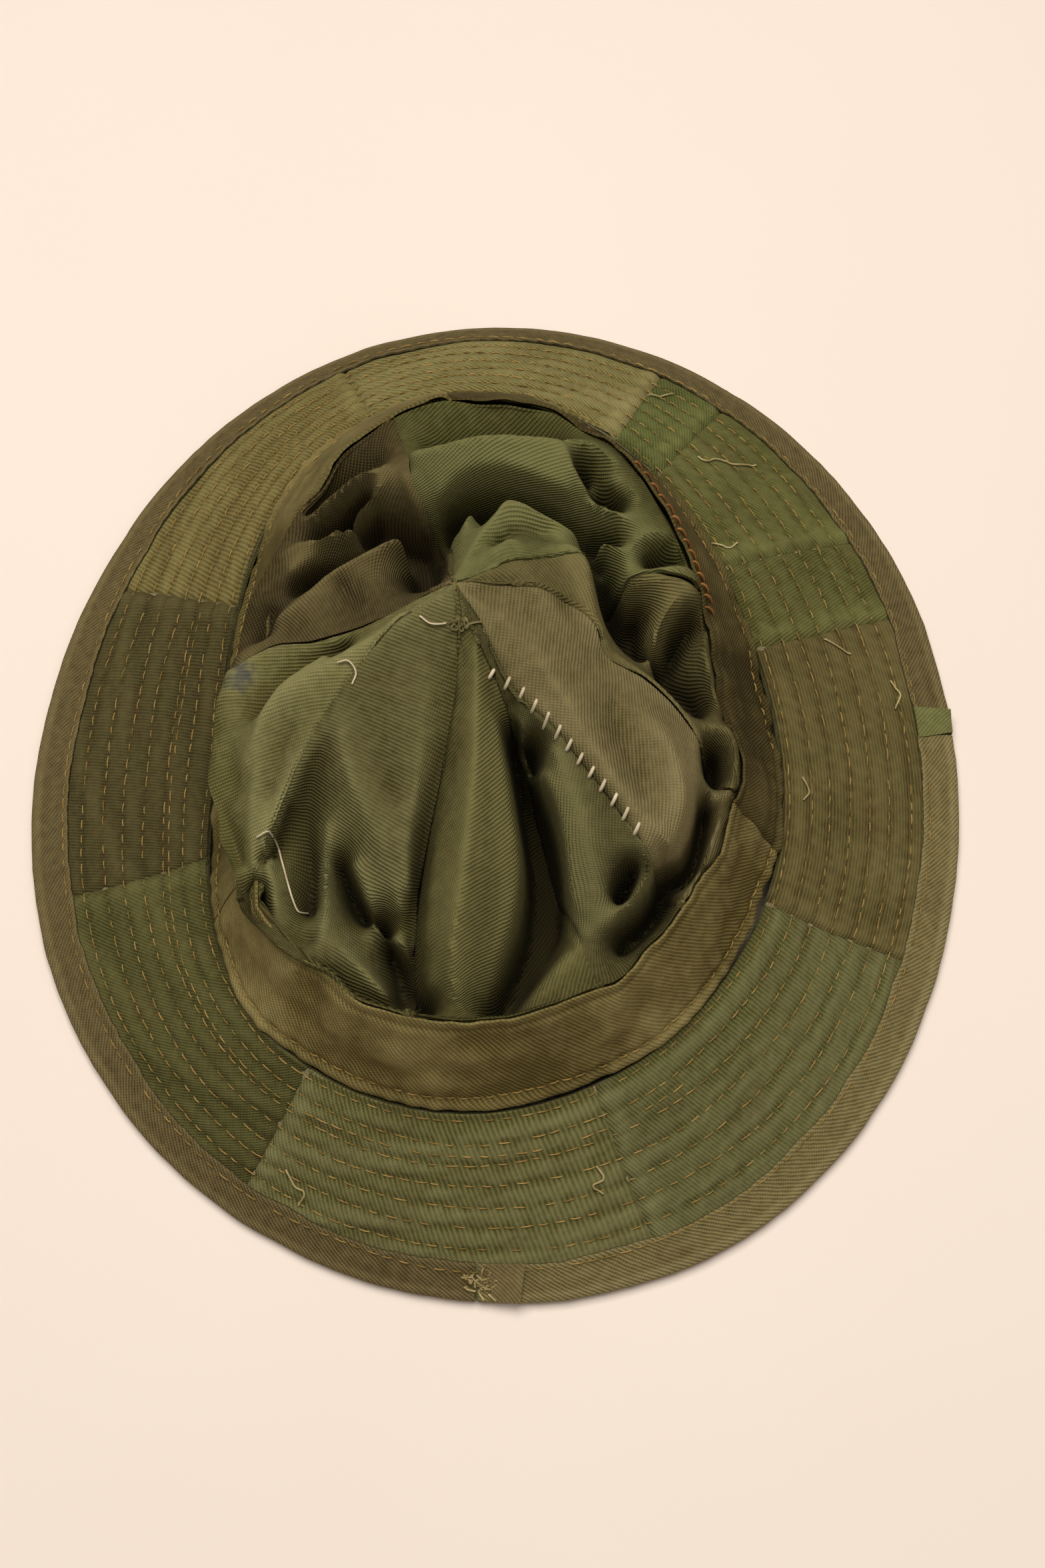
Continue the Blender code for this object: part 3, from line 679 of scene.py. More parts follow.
def add_stitches(name, dashes, radius, material):
    """Stitches joined into one piece; a dash is its start, its end and the cloth's outward direction."""
    verts, faces = [], []
    for start, end, up in dashes:
        start, end, up = (np.asarray(v, float) for v in (start, end, up))
        along = end - start
        side = np.cross(along, up)
        side /= np.linalg.norm(side)
        first = len(verts)
        for place, rise, thick in DASH_RINGS:
            middle = start + along * place + up * rise * radius * 2
            for k in range(DASH_SIDES):
                turn = 2 * math.pi * k / DASH_SIDES
                verts.append(middle + radius * thick * (math.cos(turn) * side + math.sin(turn) * up))
        for ring in range(len(DASH_RINGS) - 1):
            for k in range(DASH_SIDES):
                a, b = first + ring * DASH_SIDES + k, first + ring * DASH_SIDES + (k + 1) % DASH_SIDES
                faces.append((a, b, b + DASH_SIDES, a + DASH_SIDES))
        last = first + (len(DASH_RINGS) - 1) * DASH_SIDES
        faces.append([first + k for k in reversed(range(DASH_SIDES))])
        faces.append([last + k for k in range(DASH_SIDES)])
    piece = link_mesh(name, verts, faces, material)
    only(piece)
    bpy.ops.object.shade_smooth()
    bpy.ops.object.mode_set(mode="EDIT")
    bpy.ops.mesh.select_all(action="SELECT")
    bpy.ops.mesh.normals_make_consistent(inside=False)
    bpy.ops.object.mode_set(mode="OBJECT")
    return piece


def dashes_along(points, ups, pitch, dash, seed):
    """Dashes of a line of machine stitching, in millimetres of pitch and length, a little uneven."""
    random = np.random.default_rng(seed)
    steps = np.linalg.norm(np.diff(points, axis=0), axis=1) / MM
    along = np.concatenate([[0], np.cumsum(steps)])
    dashes = []
    place = random.uniform(0, pitch)
    while place + dash < along[-1]:
        ends = (place, place + dash * random.uniform(0.65, 1.12))
        spots = [[np.interp(e, along, points[:, k]) for k in range(3)] for e in ends]
        up = np.array([np.interp(place, along, ups[:, k]) for k in range(3)])
        sway = np.cross(np.subtract(spots[1], spots[0]), up)
        sway *= random.uniform(-0.05, 0.05, 1) / max(np.linalg.norm(sway), 1e-9) * MM * 3
        if random.random() > MISSING_DASHES:
            dashes.append((np.add(spots[0], sway), np.subtract(spots[1], sway), up))
        place += pitch * random.uniform(0.94, 1.06)
    return dashes


def add_strand(name, points, radius, material, sides=6):
    """A loose thread along a smooth line through points, in metres."""
    line = smooth_line(points, 8)
    rings = []
    for k, spot in enumerate(line):
        along = line[min(k + 1, len(line) - 1)] - line[max(k - 1, 0)]
        along /= np.linalg.norm(along)
        side = np.cross(along, (0.1, 0.2, 1.0))
        side /= np.linalg.norm(side)
        up = np.cross(side, along)
        turns = 2 * np.pi * np.arange(sides) / sides
        rings.append(spot + radius * (np.cos(turns)[:, None] * side + np.sin(turns)[:, None] * up))
    faces = []
    for k in range(len(rings) - 1):
        for i in range(sides):
            a, b = k * sides + i, k * sides + (i + 1) % sides
            faces.append((a, b, b + sides, a + sides))
    faces.append(list(reversed(range(sides))))
    faces.append([(len(rings) - 1) * sides + i for i in range(sides)])
    piece = link_mesh(name, np.array(rings), faces, material)
    only(piece)
    bpy.ops.object.shade_smooth()
    return piece


def panels(seams):
    """Each panel's name with its first and last seam, going round once."""
    starts = [seam for _, seam in seams]
    first = starts[0]
    closing = tuple(b + 360 for b in first) if isinstance(first, tuple) else first + 360
    return [(name, a, b) for (name, a), b in zip(seams, [*starts[1:], closing])]


# Brim


def quilting_rows():
    return [FIRST_ROW + ROW_PITCH * row for row in range(QUILT_ROWS)]


def facing_relief(bearing, across):
    """How far the facing stands above its CAD place, in millimetres: puffed between its quilting rows."""
    arc = np.radians(bearing) * (opening_radius(bearing) * (1 - across) + edge_radius(bearing) * across) / MM
    width = (edge_radius(bearing) - opening_radius(bearing)) / MM
    relief = 0.30 * lumps(arc, across * width, 16, 21) + 0.14 * lumps(arc, across * width, 5, 22)
    for number, row in enumerate(quilting_rows()):
        off = (across - row) * width
        relief = relief - 0.50 * bell(off, 0.95)
        pucker = np.sin(2 * np.pi * arc / DASH_PITCH + 2.1 * number + 1.5 * lumps(arc, off * 0, 30, 23))
        relief = relief + 0.16 * pucker * bell(off, 1.9)
    return relief - 0.3 * bell(across * width, 3)


def facing_point(bearing, across, extra=0.0):
    lift = FACING_LIFT + CLOTH / 2 + (facing_relief(bearing, across) + extra) * MM
    return brim_point(bearing, across, lift)


# Each panel's cloth: its colour, dark between the ribs, pale where rubbed, and the slant of its ribs
FACING_CLOTHS = {
    "right": ("#605631", "#3d361d", "#7b7046", 90),
    "right_back": ("#5a572f", "#3a3a1a", "#767545", 20),
    "back_right": ("#615f34", "#3e3e1c", "#7c7b4a", -60),
    "back_gusset": ("#5b5e33", "#393d1c", "#757945", 35),
    "back": ("#837a4c", "#575029", "#9a9160", 65),
    "back_left": ("#786c40", "#4d4424", "#928955", 30),
    "left": ("#4e472a", "#322c17", "#665e3b", 10),
    "front_left": ("#55522e", "#363419", "#6d6a3f", -35),
    "front": ("#6e6a40", "#464421", "#89865c", 45),
    "front_right": ("#64623b", "#403f1e", "#7f7d55", 30),
}


def make_facings():
    for name, (edge_a, inner_a), (edge_b, inner_b) in panels(FACING_SEAMS):
        columns = max(8, int((edge_b - edge_a) / 0.42))
        u = np.linspace(0, 1, columns + 1)[None, :]
        v = np.linspace(0, 1, 54)[:, None]
        first = inner_a + (edge_a - inner_a) * v
        last = inner_b + (edge_b - inner_b) * v
        bearing = first + (last - first) * u
        across = v + 0 * u
        radius = (opening_radius(bearing) * (1 - across) + edge_radius(bearing) * across) / MM
        from_first = np.radians(bearing - first) * radius
        to_last = np.radians(last - bearing) * radius
        welt = 0.55 * bell(from_first - 3.2, 2.4) - 0.9 * bell(from_first, 0.9) - 0.9 * bell(to_last, 0.7)
        points = facing_point(bearing, across, welt)
        width = (edge_radius(bearing) - opening_radius(bearing)) / MM
        pattern = np.stack([np.radians(bearing - first) * radius, across * width], -1)
        relief = facing_relief(bearing, across)
        wear_and_painted_shade = np.clip(0.35 + 0.55 * relief + 0.25 * bell(from_first - 3, 3), 0, 1)
        colour, dark, pale, turn = FACING_CLOTHS[name]
        material = worn_twill("facing_twill_" + name, colour, dark, pale, turn, pitch=0.95, relief=0.16,
                              stain=0.45)
        piece = add_cloth("facing_" + name, points, pattern, wear_and_painted_shade, CLOTH, material)
        sewn_in(piece, "facing_cotton", "brim_facing_" + name)


CANVAS_COLOURS = ("#8b8260", "#6a6145", "#a39a78")
OUTER_COLOURS = ("#5f5b34", "#3d3a1e", "#7a774b")


def make_under_brim():
    """The interlining and the brim's outer cloth, which show only from below and at the cloth's edges."""
    canvas = worn_twill("interlining_canvas", *CANVAS_COLOURS, turn=0, pitch=1.1, relief=0.2, stain=0.3)
    bearing = np.linspace(0, 360, 361)[None, :]
    across = np.linspace(0, 0.985, 14)[:, None]
    points = brim_point(bearing, across, CANVAS / 2)
    pattern = flat_pattern(np.radians(bearing) * BRIM_RADIUS / MM, across * BRIM_SLANT)
    piece = add_cloth("interlining", points, pattern, 0.2, CANVAS, canvas)
    close_ring(piece)
    sewn_in(piece, "interlining_canvas", "brim_interlining")
    for name, start, end in panels(BACKING_SEAMS):
        outer = worn_twill("outer_twill_" + name, *OUTER_COLOURS, turn=40, pitch=0.95, relief=0.16, stain=0.3)
        bearing = np.linspace(start, end, int(end - start) + 1)[None, :]
        across = np.linspace(0, 1, 18)[:, None]
        lift = -FACING_LIFT + CLOTH / 2 - 0.12 * MM * (1 + lumps(bearing * 2.2, across * BRIM_SLANT, 9, 31))
        points = brim_point(bearing, across, lift)
        pattern = flat_pattern(np.radians(bearing) * BRIM_RADIUS / MM, across * BRIM_SLANT)
        piece = add_cloth("outer_" + name, points, pattern, 0.3, CLOTH, outer)
        sewn_in(piece, "backing_cotton", "brim_backing_" + name)


def close_ring(piece):
    """Joins the two ends of a ring of cloth."""
    only(piece)
    bpy.ops.object.mode_set(mode="EDIT")
    bpy.ops.mesh.select_all(action="SELECT")
    bpy.ops.mesh.remove_doubles(threshold=0.00001)
    bpy.ops.mesh.select_all(action="DESELECT")
    bpy.ops.mesh.select_interior_faces()
    bpy.ops.mesh.delete(type="FACE")
    bpy.ops.object.mode_set(mode="OBJECT")


def brim_ups(bearing):
    """The brim's outward directions."""
    slope = brim_slope(bearing)
    return polar(bearing, np.sin(slope), np.cos(slope))


def make_quilting(thread):
    rows = []
    for k, row in enumerate(quilting_rows()):
        rows.append((f"quilting_{k + 1}", f"quilting_row_{k + 1}", row, 0, 360))
    rows.append(("quilting_extra", "quilting_row_extra", FIRST_ROW + ROW_PITCH * EXTRA_ROW, *EXTRA_ROW_SPAN))
    for number, (name, node, row, start, end) in enumerate(rows):
        bearing = np.linspace(start, end, (end - start) * 2 + 1)
        across = row + 0.011 * lumps(bearing, bearing * 0, 14, 40 + number)
        points = facing_point(bearing, across, 0.12)
        dashes = dashes_along(points, brim_ups(bearing), DASH_PITCH, DASH, 50 + number)
        piece = add_stitches(name, dashes, THREAD, thread)
        sewn_in(piece, "sewing_thread", node)


# Binding


# The tape's section: places across its top in millimetres, angles round its nose in degrees, and how far
# behind the brim's edge the bend starts. An arc is millimetres of tape to one degree of bearing
TAPE_RUNGS = (0, 1.6, 3.2, 4.8, 6.4, 8.0, 9.4)
TAPE_TURNS = (66, 42, 20, 0, -20, -42, -66)
TAPE_SETBACK = 0.8
TAPE_ARC = 2.5
TAPE_PATTERN_ARC = 2.52
TAB_ARC = 2.45


def tape_relief(bearing):
    """The tape's waviness along the brim, in millimetres."""
    arc = bearing * TAPE_ARC
    return 0.35 * lumps(arc, arc * 0, 11, 61) + 0.15 * lumps(arc, arc * 0, 3.5, 62)


def tape_path(inset):
    """Half of the tape's section in millimetres, (reach, lift), over the brim's edge from top to bottom."""
    half = (FACING_LIFT + CLOTH / 2 + LAYER_GAP + TAPE) / MM - inset
    nose = (TAPE_SPARE + TAPE) / MM - inset + TAPE_SETBACK
    top = [(-TAPE_WIDTH / MM + reach, half) for reach in TAPE_RUNGS]
    turns = [math.radians(a) for a in TAPE_TURNS]
    bend = [(-TAPE_SETBACK + nose * math.cos(a), half * math.sin(a)) for a in turns]
    return top + bend + [(reach, -lift) for reach, lift in reversed(top)]


def make_binding():
    cloths = {
        "long": ("#6a5c3b", "#433a22", "#8d7f55"),
        # The short tape is its own greener cloth, with its colours lightened as painted light on the front
        # right of the binding
        "short": ("#82754a", "#544b2b", "#9d9166"),
    }
    first, last = TAPE_ENDS
    for name, start, end in (("long", first, last), ("short", last, first + 360)):
        bearing = np.arange(start + 0.1, end, 0.4)
        outer, inner = tape_path(0), tape_path(TAPE / MM)
        section = outer + list(reversed(inner))
        wave = tape_relief(bearing)
        slope = brim_slope(bearing)
        out = polar(bearing, np.cos(slope), -np.sin(slope))
        up = polar(bearing, np.sin(slope), np.cos(slope))
        edge = brim_point(bearing, 1.0, 0)
        rings = []
        for k, (reach, lift) in enumerate(section):
            lip = np.clip((-reach - 6) / 5, 0, 1)
            sway = wave * (0.5 + lip)
            pull = 0.28 * around(bearing * 0 + reach, -8.3, 1.0) * np.sign(lift)
            pucker = 0.14 * np.sin(2 * np.pi * bearing * TAPE_ARC / DASH_PITCH) * np.clip(lip * 1.5, 0, 1)
            rings.append(edge + (out * (reach + sway * 1.1)[:, None] +
                                 up * (lift - pull + (0.35 * wave + pucker) * np.sign(lift))[:, None]) * MM)
        points = np.stack(rings, 0)
        points[..., 2] = np.maximum(points[..., 2], 0.0)
        material = worn_twill("tape_twill_" + name, *cloths[name], turn=52, relief=0.25, stain=0.4)
        piece = add_tape("tape_" + name, points, section, bearing, material)
        tone = "brown" if name == "long" else "green"
        sewn_in(piece, "binding_tape_" + tone, "edge_binding_" + name)


def add_tape(name, points, section, bearing, material):
    """A folded tape: closed section rings along the brim, with its flat pattern in millimetres."""
    around_it, along = points.shape[:2]
    number = np.arange(around_it * along).reshape(around_it, along)
    rolled = np.roll(number, -1, 0)
    quads = np.stack([number[:, :-1], rolled[:, :-1], rolled[:, 1:], number[:, 1:]], -1).reshape(-1, 4)
    half = around_it // 2
    faces = quads.tolist()
    for k in range(half - 1):
        a, b, c, d = k, k + 1, around_it - 2 - k, around_it - 1 - k
        faces.append([number[i, 0] for i in (a, d, c, b)])
        faces.append([number[i, -1] for i in (a, b, c, d)])
    piece = link_mesh(name, points, faces, material)
    mesh = piece.data
    reach = [0.0]
    for a, b in zip(section, section[1:]):
        reach.append(reach[-1] + math.dist(a, b))
    flat = flat_pattern(bearing[None, :] * TAPE_PATTERN_ARC, np.array(reach)[:, None]).reshape(-1, 2)
    layer = mesh.uv_layers.new(name="cloth")
    vertex = np.zeros(len(mesh.loops), np.int32)
    mesh.loops.foreach_get("vertex_index", vertex)
    layer.data.foreach_set("uv", flat[vertex].ravel().astype(np.float32))
    wear_and_painted_shade = np.array([0.55 if -2.5 < r < 2 or r < -10 else 0.25 for r, _ in section])
    rubbed = mesh.attributes.new("wear_and_painted_shade", "FLOAT", "POINT")
    values = np.broadcast_to(wear_and_painted_shade[:, None], (around_it, along))
    rubbed.data.foreach_set("value", values.ravel().astype(np.float32))
    only(piece)
    bpy.ops.object.mode_set(mode="EDIT")
    bpy.ops.mesh.select_all(action="SELECT")
    bpy.ops.mesh.normals_make_consistent(inside=False)
    bpy.ops.object.mode_set(mode="OBJECT")
    bpy.ops.object.shade_smooth_by_angle(angle=math.radians(50))
    return piece


# A tab's bearing, its place across the brim, its length and width in millimetres, and its three colours
TAPE_TABS = {
    "right": (7.5, 0.90, 11.0, 10.0, "#66673a", "#41431f", "#8a8a58"),
    "front": (271.0, 0.89, 10.5, 10.0, "#6e603c", "#463b22", "#8f8057"),
}


def make_tape_tabs():
    """A turned-up corner of tape at each of the binding's two joints."""
    for name, (middle, place, length, width, *colours) in TAPE_TABS.items():
        u = np.linspace(-0.5, 0.5, 13)[:, None]
        v = np.linspace(-0.5, 0.5, 13)[None, :]
        bearing = middle + v * length / TAB_ARC * (1 - 0.35 * (u + 0.5))
        across = place + u * width / BRIM_SLANT + 0 * v
        curl = 0.5 + 1.1 * np.clip(u + v, 0, 1) ** 1.5 + 0.15 * lumps(u * 9, v * 9, 3, 91)
        points = brim_point(bearing, across, FACING_LIFT + CLOTH / 2 + LAYER_GAP + TAPE + curl * MM)
        pattern = flat_pattern(v * length, u * width)
        material = worn_twill("tape_tab_twill_" + name, *colours, turn=52, stain=0.3)
        piece = add_cloth("tape_tab_" + name, points, pattern, 0.5, CLOTH - 0.2 * MM, material)
        sewn_in(piece, "binding_tape_green")


def make_frayed_joint(thread):
    """Raw threads where the binding's ends meet at the front."""
    random = np.random.default_rng(15)
    strands = []
    for k in range(FRAYED_THREADS):
        start = np.array([TAPE_ENDS[1] + random.normal(0, 0.8), 0.90 + random.normal(0, 0.03)])
        step = random.normal(0, 1, 2) * (0.5, 0.018)
        spots = [start + step * i + random.normal(0, 1, 2) * (0.25, 0.008) for i in range(4)]
        points = [brim_point(b, a, (2.6 + 0.5 * math.sin(2 * i + k)) * MM) for i, (b, a) in enumerate(spots)]
        strands.append(add_strand(f"joint_thread_{k + 1}", points, FRAYED_THREAD, thread, 5))
    join_strands(strands, "binding_frayed_joint")
    sewn_in(strands[0], "sewing_thread")


def join_strands(strands, name):
    only(strands[0])
    for strand in strands:
        strand.select_set(True)
    bpy.ops.object.join()
    strands[0].name = name


def make_binding_stitches(thread):
    bearing = np.linspace(0, 360, 721)
    across = BINDING_STITCH - 0.004 + 0.014 * lumps(bearing, bearing * 0, 12, 71)
    height = FACING_LIFT + CLOTH / 2 + LAYER_GAP + TAPE
    points = brim_point(bearing, across, height + 0.05 * MM)
    dashes = dashes_along(points, brim_ups(bearing), DASH_PITCH, DASH, 72)
    piece = add_stitches("binding_dashes", dashes, THREAD, thread)
    sewn_in(piece, "sewing_thread", "binding_stitching")


# Sweatband


def band_relief(bearing, up):
    """The sweatband's creases, in millimetres."""
    arc = bearing * BAND_CREASE_ARC
    width = BAND_WIDTH / MM
    relief = 1.4 * lumps(arc, up * 12, 22, 81) + 0.7 * lumps(arc, up * width, 9, 82)
    relief = relief + 0.28 * lumps(arc * 1.6, up * 20, 4, 83) + 0.4 * lumps(arc / 3, up * width, 5, 87)
    relief = relief - 0.5 * bell((up - 0.92) * width, 0.8)
    relief = relief - 0.6 * bell((up - BAND_STITCH) * width, 1.1)
    relief = relief + 0.5 * bell((up - 0.04) * width, 1.6)
    puckers = np.sin(2 * np.pi * arc / 6.3 + 2 * lumps(arc, arc * 0, 25, 84))
    return relief + 0.25 * puckers * bell(up - 0.1, 0.12)


def band_surface(bearing, up, extra=0.0):
    return band_point(bearing, up, BAND_CLOTH / 2 + (band_relief(bearing, up) + extra) * MM)


def make_sweatband(thread):
    cloths = {
        "right": ("#4b4022", "#2f2813", "#625733"),
        "back_left": ("#6e6239", "#473e20", "#877b4d"),
        "front": ("#77693b", "#4b4122", "#8f8253"),
    }
    for name, start, end in panels(BAND_SEAMS):
        bearing = np.linspace(start, end, int((end - start) / 0.5) + 1)[None, :]
        up = np.linspace(1, 0, 40)[:, None]
        arc = (bearing - start) * BAND_ARC
        lap = 0.5 * bell(arc - 3, 3) - 0.7 * bell(arc, 0.9) + 0 * up
        points = band_surface(bearing, up, lap)
        pattern = flat_pattern(arc, up * BAND_WIDTH / MM)
        wear_and_painted_shade = np.clip(0.3 + 0.4 * band_relief(bearing, up), 0, 1)
        material = worn_twill("sweatband_twill_" + name, *cloths[name], turn=-38, relief=0.2, stain=0.4,
                              stain_colour="#43381b")
        piece = add_cloth("band_" + name, points, pattern, wear_and_painted_shade, BAND_CLOTH, material)
        sewn_in(piece, "sweatband_cotton", "sweatband_" + name)
    bearing = np.linspace(0, 360, 721)
    up = BAND_STITCH + 0.015 * lumps(bearing, bearing * 0, 10, 85)
    points = band_surface(bearing, up, 0.1)
    ups = polar(bearing, BAND_RISE + 0 * bearing, BAND_LEAN)
    dashes = dashes_along(points, ups, BAND_DASH_PITCH, BAND_DASH, 86)
    piece = add_stitches("sweatband_dashes", dashes, THREAD, thread)
    sewn_in(piece, "sewing_thread", "sweatband_stitching")


HAND_STITCHES = 14
HAND_STITCH_START = 28
HAND_STITCH_PITCH = 2.5
HAND_STITCH_SLANT = 1.6


def make_hand_stitches(thread):
    """Slanting hand stitches in heavier orange thread, on the sweatband's upper edge at the back right."""
    dashes = []
    for i in range(HAND_STITCHES):
        bearing = HAND_STITCH_START + HAND_STITCH_PITCH * i
        start = band_surface(np.array(bearing), np.array(0.86), 0.3)
        end = band_surface(np.array(bearing + HAND_STITCH_SLANT), np.array(1.0), 0.3)
        dashes.append((start, end, polar(np.array(bearing), BAND_RISE, BAND_LEAN)))
    piece = add_stitches("sweatband_mends", dashes, ORANGE_THREAD, thread)
    sewn_in(piece, "orange_thread", "sweatband_hand_stitches")


# Crown


def foot_point(bearing):
    radius, height = crown_foot(bearing)
    return radius * np.cos(np.radians(bearing)), radius * np.sin(np.radians(bearing)), height


def seam_column(field, points):
    """A seam's points from the tip to the sweatband, evenly spaced along the folded cloth."""
    start = np.array(CROWN_TIP, float)
    first = start + (np.array(points[0]) - start) * TIP_OPENING
    bearing = math.degrees(math.atan2(points[-1][1], points[-1][0]))
    x, y, _ = foot_point(np.array(bearing))
    inside = [p for p in points if math.hypot(*p) < math.hypot(x, y) - 3]
    plan = smooth_line([tuple(first), *inside, (float(x), float(y))], 30)
    line = np.column_stack([plan, field.at(plan[:, 0], plan[:, 1])])
    return even_line(line, CROWN_ROWS + 1)


def draped_crown(field):
    """The crown's points in millimetres, rows from tip to foot, and the column of each seam."""
    seams = [seam_column(field, points) for _, points in GORE_SEAMS]
    columns, seam_at = [], []
    for k, seam in enumerate(seams):
        following = seams[(k + 1) % len(seams)]
        angle = math.degrees(math.atan2(seam[-1, 1], seam[-1, 0]))
        other = math.degrees(math.atan2(following[-1, 1], following[-1, 0]))
        span = (other - angle) % 360
        count = max(8, round(span / GORE_COLUMN))
        seam_at.append(len(columns))
        for i in range(count):
            part = i / count
            column = seam * (1 - part) + following * part
            x, y, z = foot_point(np.array(angle + span * part))
            straight = np.array([x, y, z]) - column[-1]
            blend = np.linspace(0, 1, CROWN_ROWS + 1)[:, None] ** 2
            columns.append(column + straight * blend)
    points = np.stack(columns, 1)
    held = np.zeros(points.shape[:2], bool)
    held[[0, -1], :] = True
    held[:, seam_at] = True
    for _ in range(RELAX_ROUNDS):
        total, weight = np.zeros_like(points), np.full(points.shape[:2] + (1,), 1e-9)
        for shift, axis in ((1, 1), (-1, 1), (1, 0), (-1, 0)):
            near = np.roll(points, shift, axis)
            pull = np.linalg.norm(near - points, axis=2, keepdims=True)
            total += near * pull
            weight += pull
        middle = points * 0.4 + total / weight * 0.6
        middle[..., 2] = field.at(middle[..., 0], middle[..., 1])
        points = np.where(held[..., None], points, middle)
    return points, seam_at


def tucked_foot(points):
    """Rows that carry the crown from its foot in behind the sweatband's upper edge and down behind it."""
    foot = points[-1] * MM
    bearing = np.degrees(np.arctan2(foot[:, 1], foot[:, 0]))
    behind = -(BAND_CLOTH + CROWN_CLOTH) / 2 - 1.0 * MM
    entry = band_point(bearing, 1.0, behind)
    low = foot.copy()
    low[:, 2] -= (FOOT_HANG + FOOT_HANG_SHARE * overhang(bearing)) * MM
    rows = []
    for t in (k / 10 for k in range(1, 10)):
        rows.append(foot * (1 - t) ** 2 + low * 2 * t * (1 - t) + entry * t**2)
    rows += [band_point(bearing, up, behind) for up in (1.0, 0.85, 0.6, 0.35, 0.1)]
    return np.stack(rows, 0)


# Each gore's cloth: its colour, dark between the ribs, pale where rubbed, and the slant of its ribs
GORE_CLOTHS = {
    "front_left": ("#5c5631", "#37331a", "#77724a", 88),
    "front": ("#58522e", "#353118", "#726c42", 70),
    "front_right": ("#544e2e", "#332e16", "#6e6943", 40),
    "right_front": ("#6a603c", "#433b20", "#847953", 52),
    "right": ("#595130", "#383218", "#746b43", 48),
    "back_right": ("#595730", "#373618", "#747247", 60),
    "back_left": ("#50452a", "#302916", "#6b603d", 35),
    "left": ("#6b663b", "#43401f", "#878256", 30),
}


def make_crown():
    field = stretched_field()
    broad = HeightField(blurred(field.values, 10), FIELD_STEP)
    points, seam_at = draped_crown(field)
    proud = field.at(points[..., 0], points[..., 1]) - broad.at(points[..., 0], points[..., 1])
    near_foot = np.clip((CROWN_ROWS - np.arange(CROWN_ROWS + 1)) / 12, 0, 1)[:, None]
    # Heights above the crown's broad shape give pale wear; heights below it, deep in folds, give painted
    # shade
    wear_and_painted_shade = np.clip(0.35 + proud * 0.16, -0.9, 1) * (0.3 + 0.7 * near_foot)
    tuck = tucked_foot(points)
    count = points.shape[1]
    for k, (name, _) in enumerate(GORE_SEAMS):
        start = seam_at[k]
        end = seam_at[(k + 1) % len(seam_at)] + (count if k == len(seam_at) - 1 else 0)
        chosen = np.arange(start, end + 1) % count
        sheet = np.vstack([points[:, chosen] * MM, tuck[:, chosen]])
        sheet_wear_and_shade = np.vstack([wear_and_painted_shade[:, chosen], np.full((len(tuck), len(chosen)), 0.1)])
        steps = np.linalg.norm(np.diff(sheet, axis=1), axis=2) / MM
        from_first = np.concatenate([np.zeros((len(sheet), 1)), np.cumsum(steps, 1)], 1)
        to_last = from_first[:, -1:] - from_first
        fade_in = np.clip(np.arange(len(sheet)) / 12, 0, 1)[:, None]
        welt = 0.45 * bell(from_first - 3, 2.2) - 0.55 * bell(from_first, 0.8) - 0.55 * bell(to_last, 0.8)
        welt = welt * fade_in
        sheet = sheet + normals_of(sheet) * welt[..., None] * MM
        colour, dark, pale, turn = GORE_CLOTHS[name]
        ink = INK_BLOT if name == "left" or name == "front_left" else None
        material = worn_twill("crown_twill_" + name, colour, dark, pale, turn, relief=0.24, stain=0.4,
                              ink=ink)
        piece = add_cloth("gore_" + name, sheet, None, sheet_wear_and_shade, CROWN_CLOTH - 0.1 * MM, material)
        sewn_in(piece, "crown_cotton", "crown_gore_" + name)
        base = joint_length(GORE_SEAMS[k][1][-1], GORE_SEAMS[(k + 1) % len(GORE_SEAMS)][1][-1])
    return field


def on_crown(field, x, y, lift):
    """A point in metres, lifted off the crown at a place in millimetres."""
    return np.array([x, y, float(field.at(x, y)) + lift]) * MM


WHIPSTITCHES = 13
WHIPSTITCH_LINE = [(-1, -1), (6, -5), (15, -14), (25, -26), (37, -40)]


def make_whipstitches(field, thread):
    """Slanting stitches of thick pale thread that close the torn seam beside the stitched gore."""
    line = smooth_line(WHIPSTITCH_LINE, 20)
    spots = even_line(line, WHIPSTITCHES)
    dashes = []
    for x, y in spots:
        start = on_crown(field, x - 0.8, y - 1.3, 0.5)
        end = on_crown(field, x + 0.8, y + 1.5, 0.7)
        dashes.append((start, end, (0.1, -0.2, 0.97)))
    piece = add_stitches("seam_whipstitches", dashes, PALE_THREAD, thread)
    sewn_in(piece, "pale_thread", "repair_whipstitches")


KNOT_THREADS = 14
KNOT_PLACE = (-9.0, 12.0)
KNOT_SPREAD = (1.1, 0.7)


def make_tip_knot(field, thread):
    """The frayed knot where the gores' seams meet under the tip."""
    random = np.random.default_rng(5)
    strands = []
    for k in range(KNOT_THREADS):
        x, y = random.normal(KNOT_PLACE, KNOT_SPREAD)
        points = [on_crown(field, x + random.normal(0, 0.6) * i, y + random.normal(0, 0.5) * i,
                           0.3 + 0.8 * math.sin(i * 1.1)) for i in range(4)]
        strands.append(add_strand(f"knot_thread_{k + 1}", points, KNOT_THREAD, thread, 5))
    join_strands(strands, "tip_knot")
    sewn_in(strands[0], "crown_cotton", "crown_tip_knot")


LOOSE_THREADS = {
    "on the crown": [
        [(-42, 4), (-39, 4), (-37, 1), (-38, -2)],
        [(-64, -38), (-60, -37), (-58, -42), (-55, -52), (-53, -56), (-51, -55)],
        [(-13, 12), (-17, 12), (-20, 14)],
    ],
    "on the brim": [
        [(60, 96), (62, 95), (66, 97), (72, 97), (79, 99)],
        [(46, 121), (50, 122), (54, 124)],
        [(97, 40), (101, 38), (105, 36)],
        [(88, -5), (90, -9), (88, -12)],
        [(27, -118), (29, -121), (26, -123), (29, -125)],
        [(-57, -118), (-55, -122), (-52, -124), (-54, -127)],
        [(60, 62), (64, 65), (68, 64), (71, 67)],
        [(118, 20), (120, 25), (117, 29)],
    ],
}


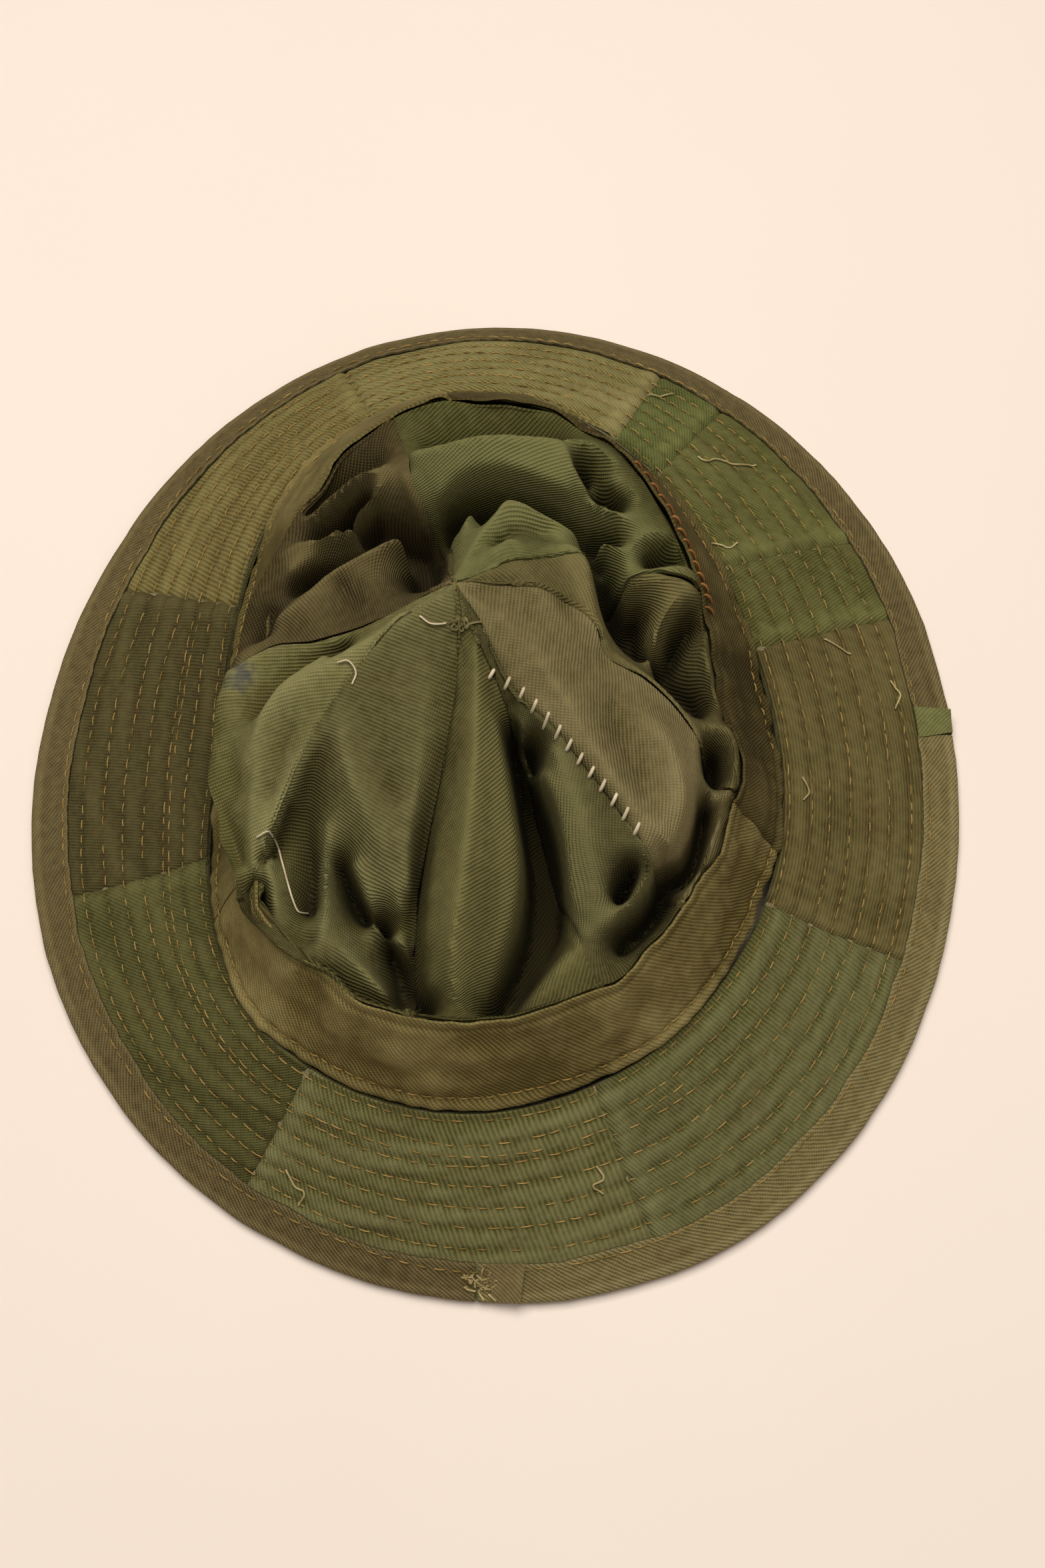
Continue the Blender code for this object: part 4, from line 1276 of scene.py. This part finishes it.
def make_loose_threads(field, pale, tan):
    """Short thread ends, each held at its stitch and lying on the cloth; places are in millimetres."""
    strands = []
    for x_y in LOOSE_THREADS["on the crown"]:
        line = even_line(smooth_line(x_y), 4 * len(x_y))
        points = [on_crown(field, x, y, 1.0) for x, y in line]
        strands.append(add_strand(f"crown_end_{len(strands)}", points, LOOSE_THREAD, pale, 6))
    for x_y in LOOSE_THREADS["on the brim"]:
        points = []
        for x, y in even_line(smooth_line(x_y), 3 * len(x_y)):
            bearing, reach = math.degrees(math.atan2(y, x)), math.hypot(x, y) * MM
            inner = opening_radius(bearing)
            across = (reach - inner) / (edge_radius(bearing) - inner)
            points.append(facing_point(np.array(bearing), np.array(across), 0.7))
        strands.append(add_strand(f"brim_end_{len(strands)}", points, LOOSE_THREAD, tan, 6))
    join_strands(strands, "loose_thread_ends")
    sewn_in(strands[0], "sewing_thread")


# Setting


CAMERA_PLACE = (0.0071, -0.2239, 0.6139)
CAMERA_TILT = math.radians(20)
WORLD_STRENGTH = 0.12
LAMP_AIM = (0, 0, 0.03)

# Each lamp's name, place, size in metres and power in watts
LAMPS = [
    ("soft_key", (-0.12, 0.25, 1.35), 0.9, 20.0),
    ("soft_fill", (0.5, -0.5, 1.3), 1.2, 4.0),
]


def make_camera():
    data = bpy.data.cameras.new("camera")
    data.lens = 50
    data.sensor_width = 36
    camera = bpy.data.objects.new("camera", data)
    camera.location = CAMERA_PLACE
    camera.rotation_euler = (CAMERA_TILT, 0, 0)
    scene.collection.objects.link(camera)
    scene.camera = camera


def make_table():
    """A plain pale cloth under the hat."""
    material, tree, shader = new_material("table_linen", 0.9)
    place = add(tree, "ShaderNodeTexCoord").outputs["Object"]
    blotches = noise(tree, place, 4.0, 3.0)
    tint = mixed(tree, blotches, linear("#e9dbce"), linear("#f0e4d9"))
    tree.links.new(tint, shader.inputs["Base Color"])
    corners = [(-3, -3, 0), (3, -3, 0), (3, 3, 0), (-3, 3, 0)]
    only_floor = link_mesh("table", corners, [(0, 1, 2, 3)], material)


def make_light():
    """A dim warm room and two soft lamps overhead."""
    world = bpy.data.worlds.new("studio")
    world.use_nodes = True
    background = world.node_tree.nodes["Background"]
    background.inputs["Color"].default_value = linear("#fff8f2")
    background.inputs["Strength"].default_value = WORLD_STRENGTH
    scene.world = world
    for name, place, size, power in LAMPS:
        data = bpy.data.lights.new(name, "AREA")
        data.size = size
        data.energy = power
        data.color = linear("#fffaf4")[:3]
        lamp = bpy.data.objects.new(name, data)
        lamp.location = place
        lamp.rotation_euler = (Vector(LAMP_AIM) - Vector(place)).to_track_quat("-Z", "Y").to_euler()
        scene.collection.objects.link(lamp)
    scene.view_settings.view_transform = "Standard"


make_camera()
make_table()
make_light()
tan_thread = spun_thread("cotton_thread_tan", "#a4874f", "#75602f")
orange_thread = spun_thread("cotton_thread_orange", "#a8713a", "#6f4823")
pale_thread = spun_thread("cotton_thread_pale", "#dccfb2", "#b5a684")
straw_thread = spun_thread("cotton_thread_straw", "#b7a878", "#8d7c50")
frayed_thread = spun_thread("frayed_cotton", "#8c8158", "#5c5535")
make_facings()
make_under_brim()
make_quilting(tan_thread)
make_binding()
make_binding_stitches(tan_thread)
make_tape_tabs()
make_frayed_joint(straw_thread)
make_sweatband(tan_thread)
make_hand_stitches(orange_thread)
crown_field = make_crown()
make_whipstitches(crown_field, pale_thread)
make_tip_knot(crown_field, frayed_thread)
make_loose_threads(crown_field, pale_thread, straw_thread)
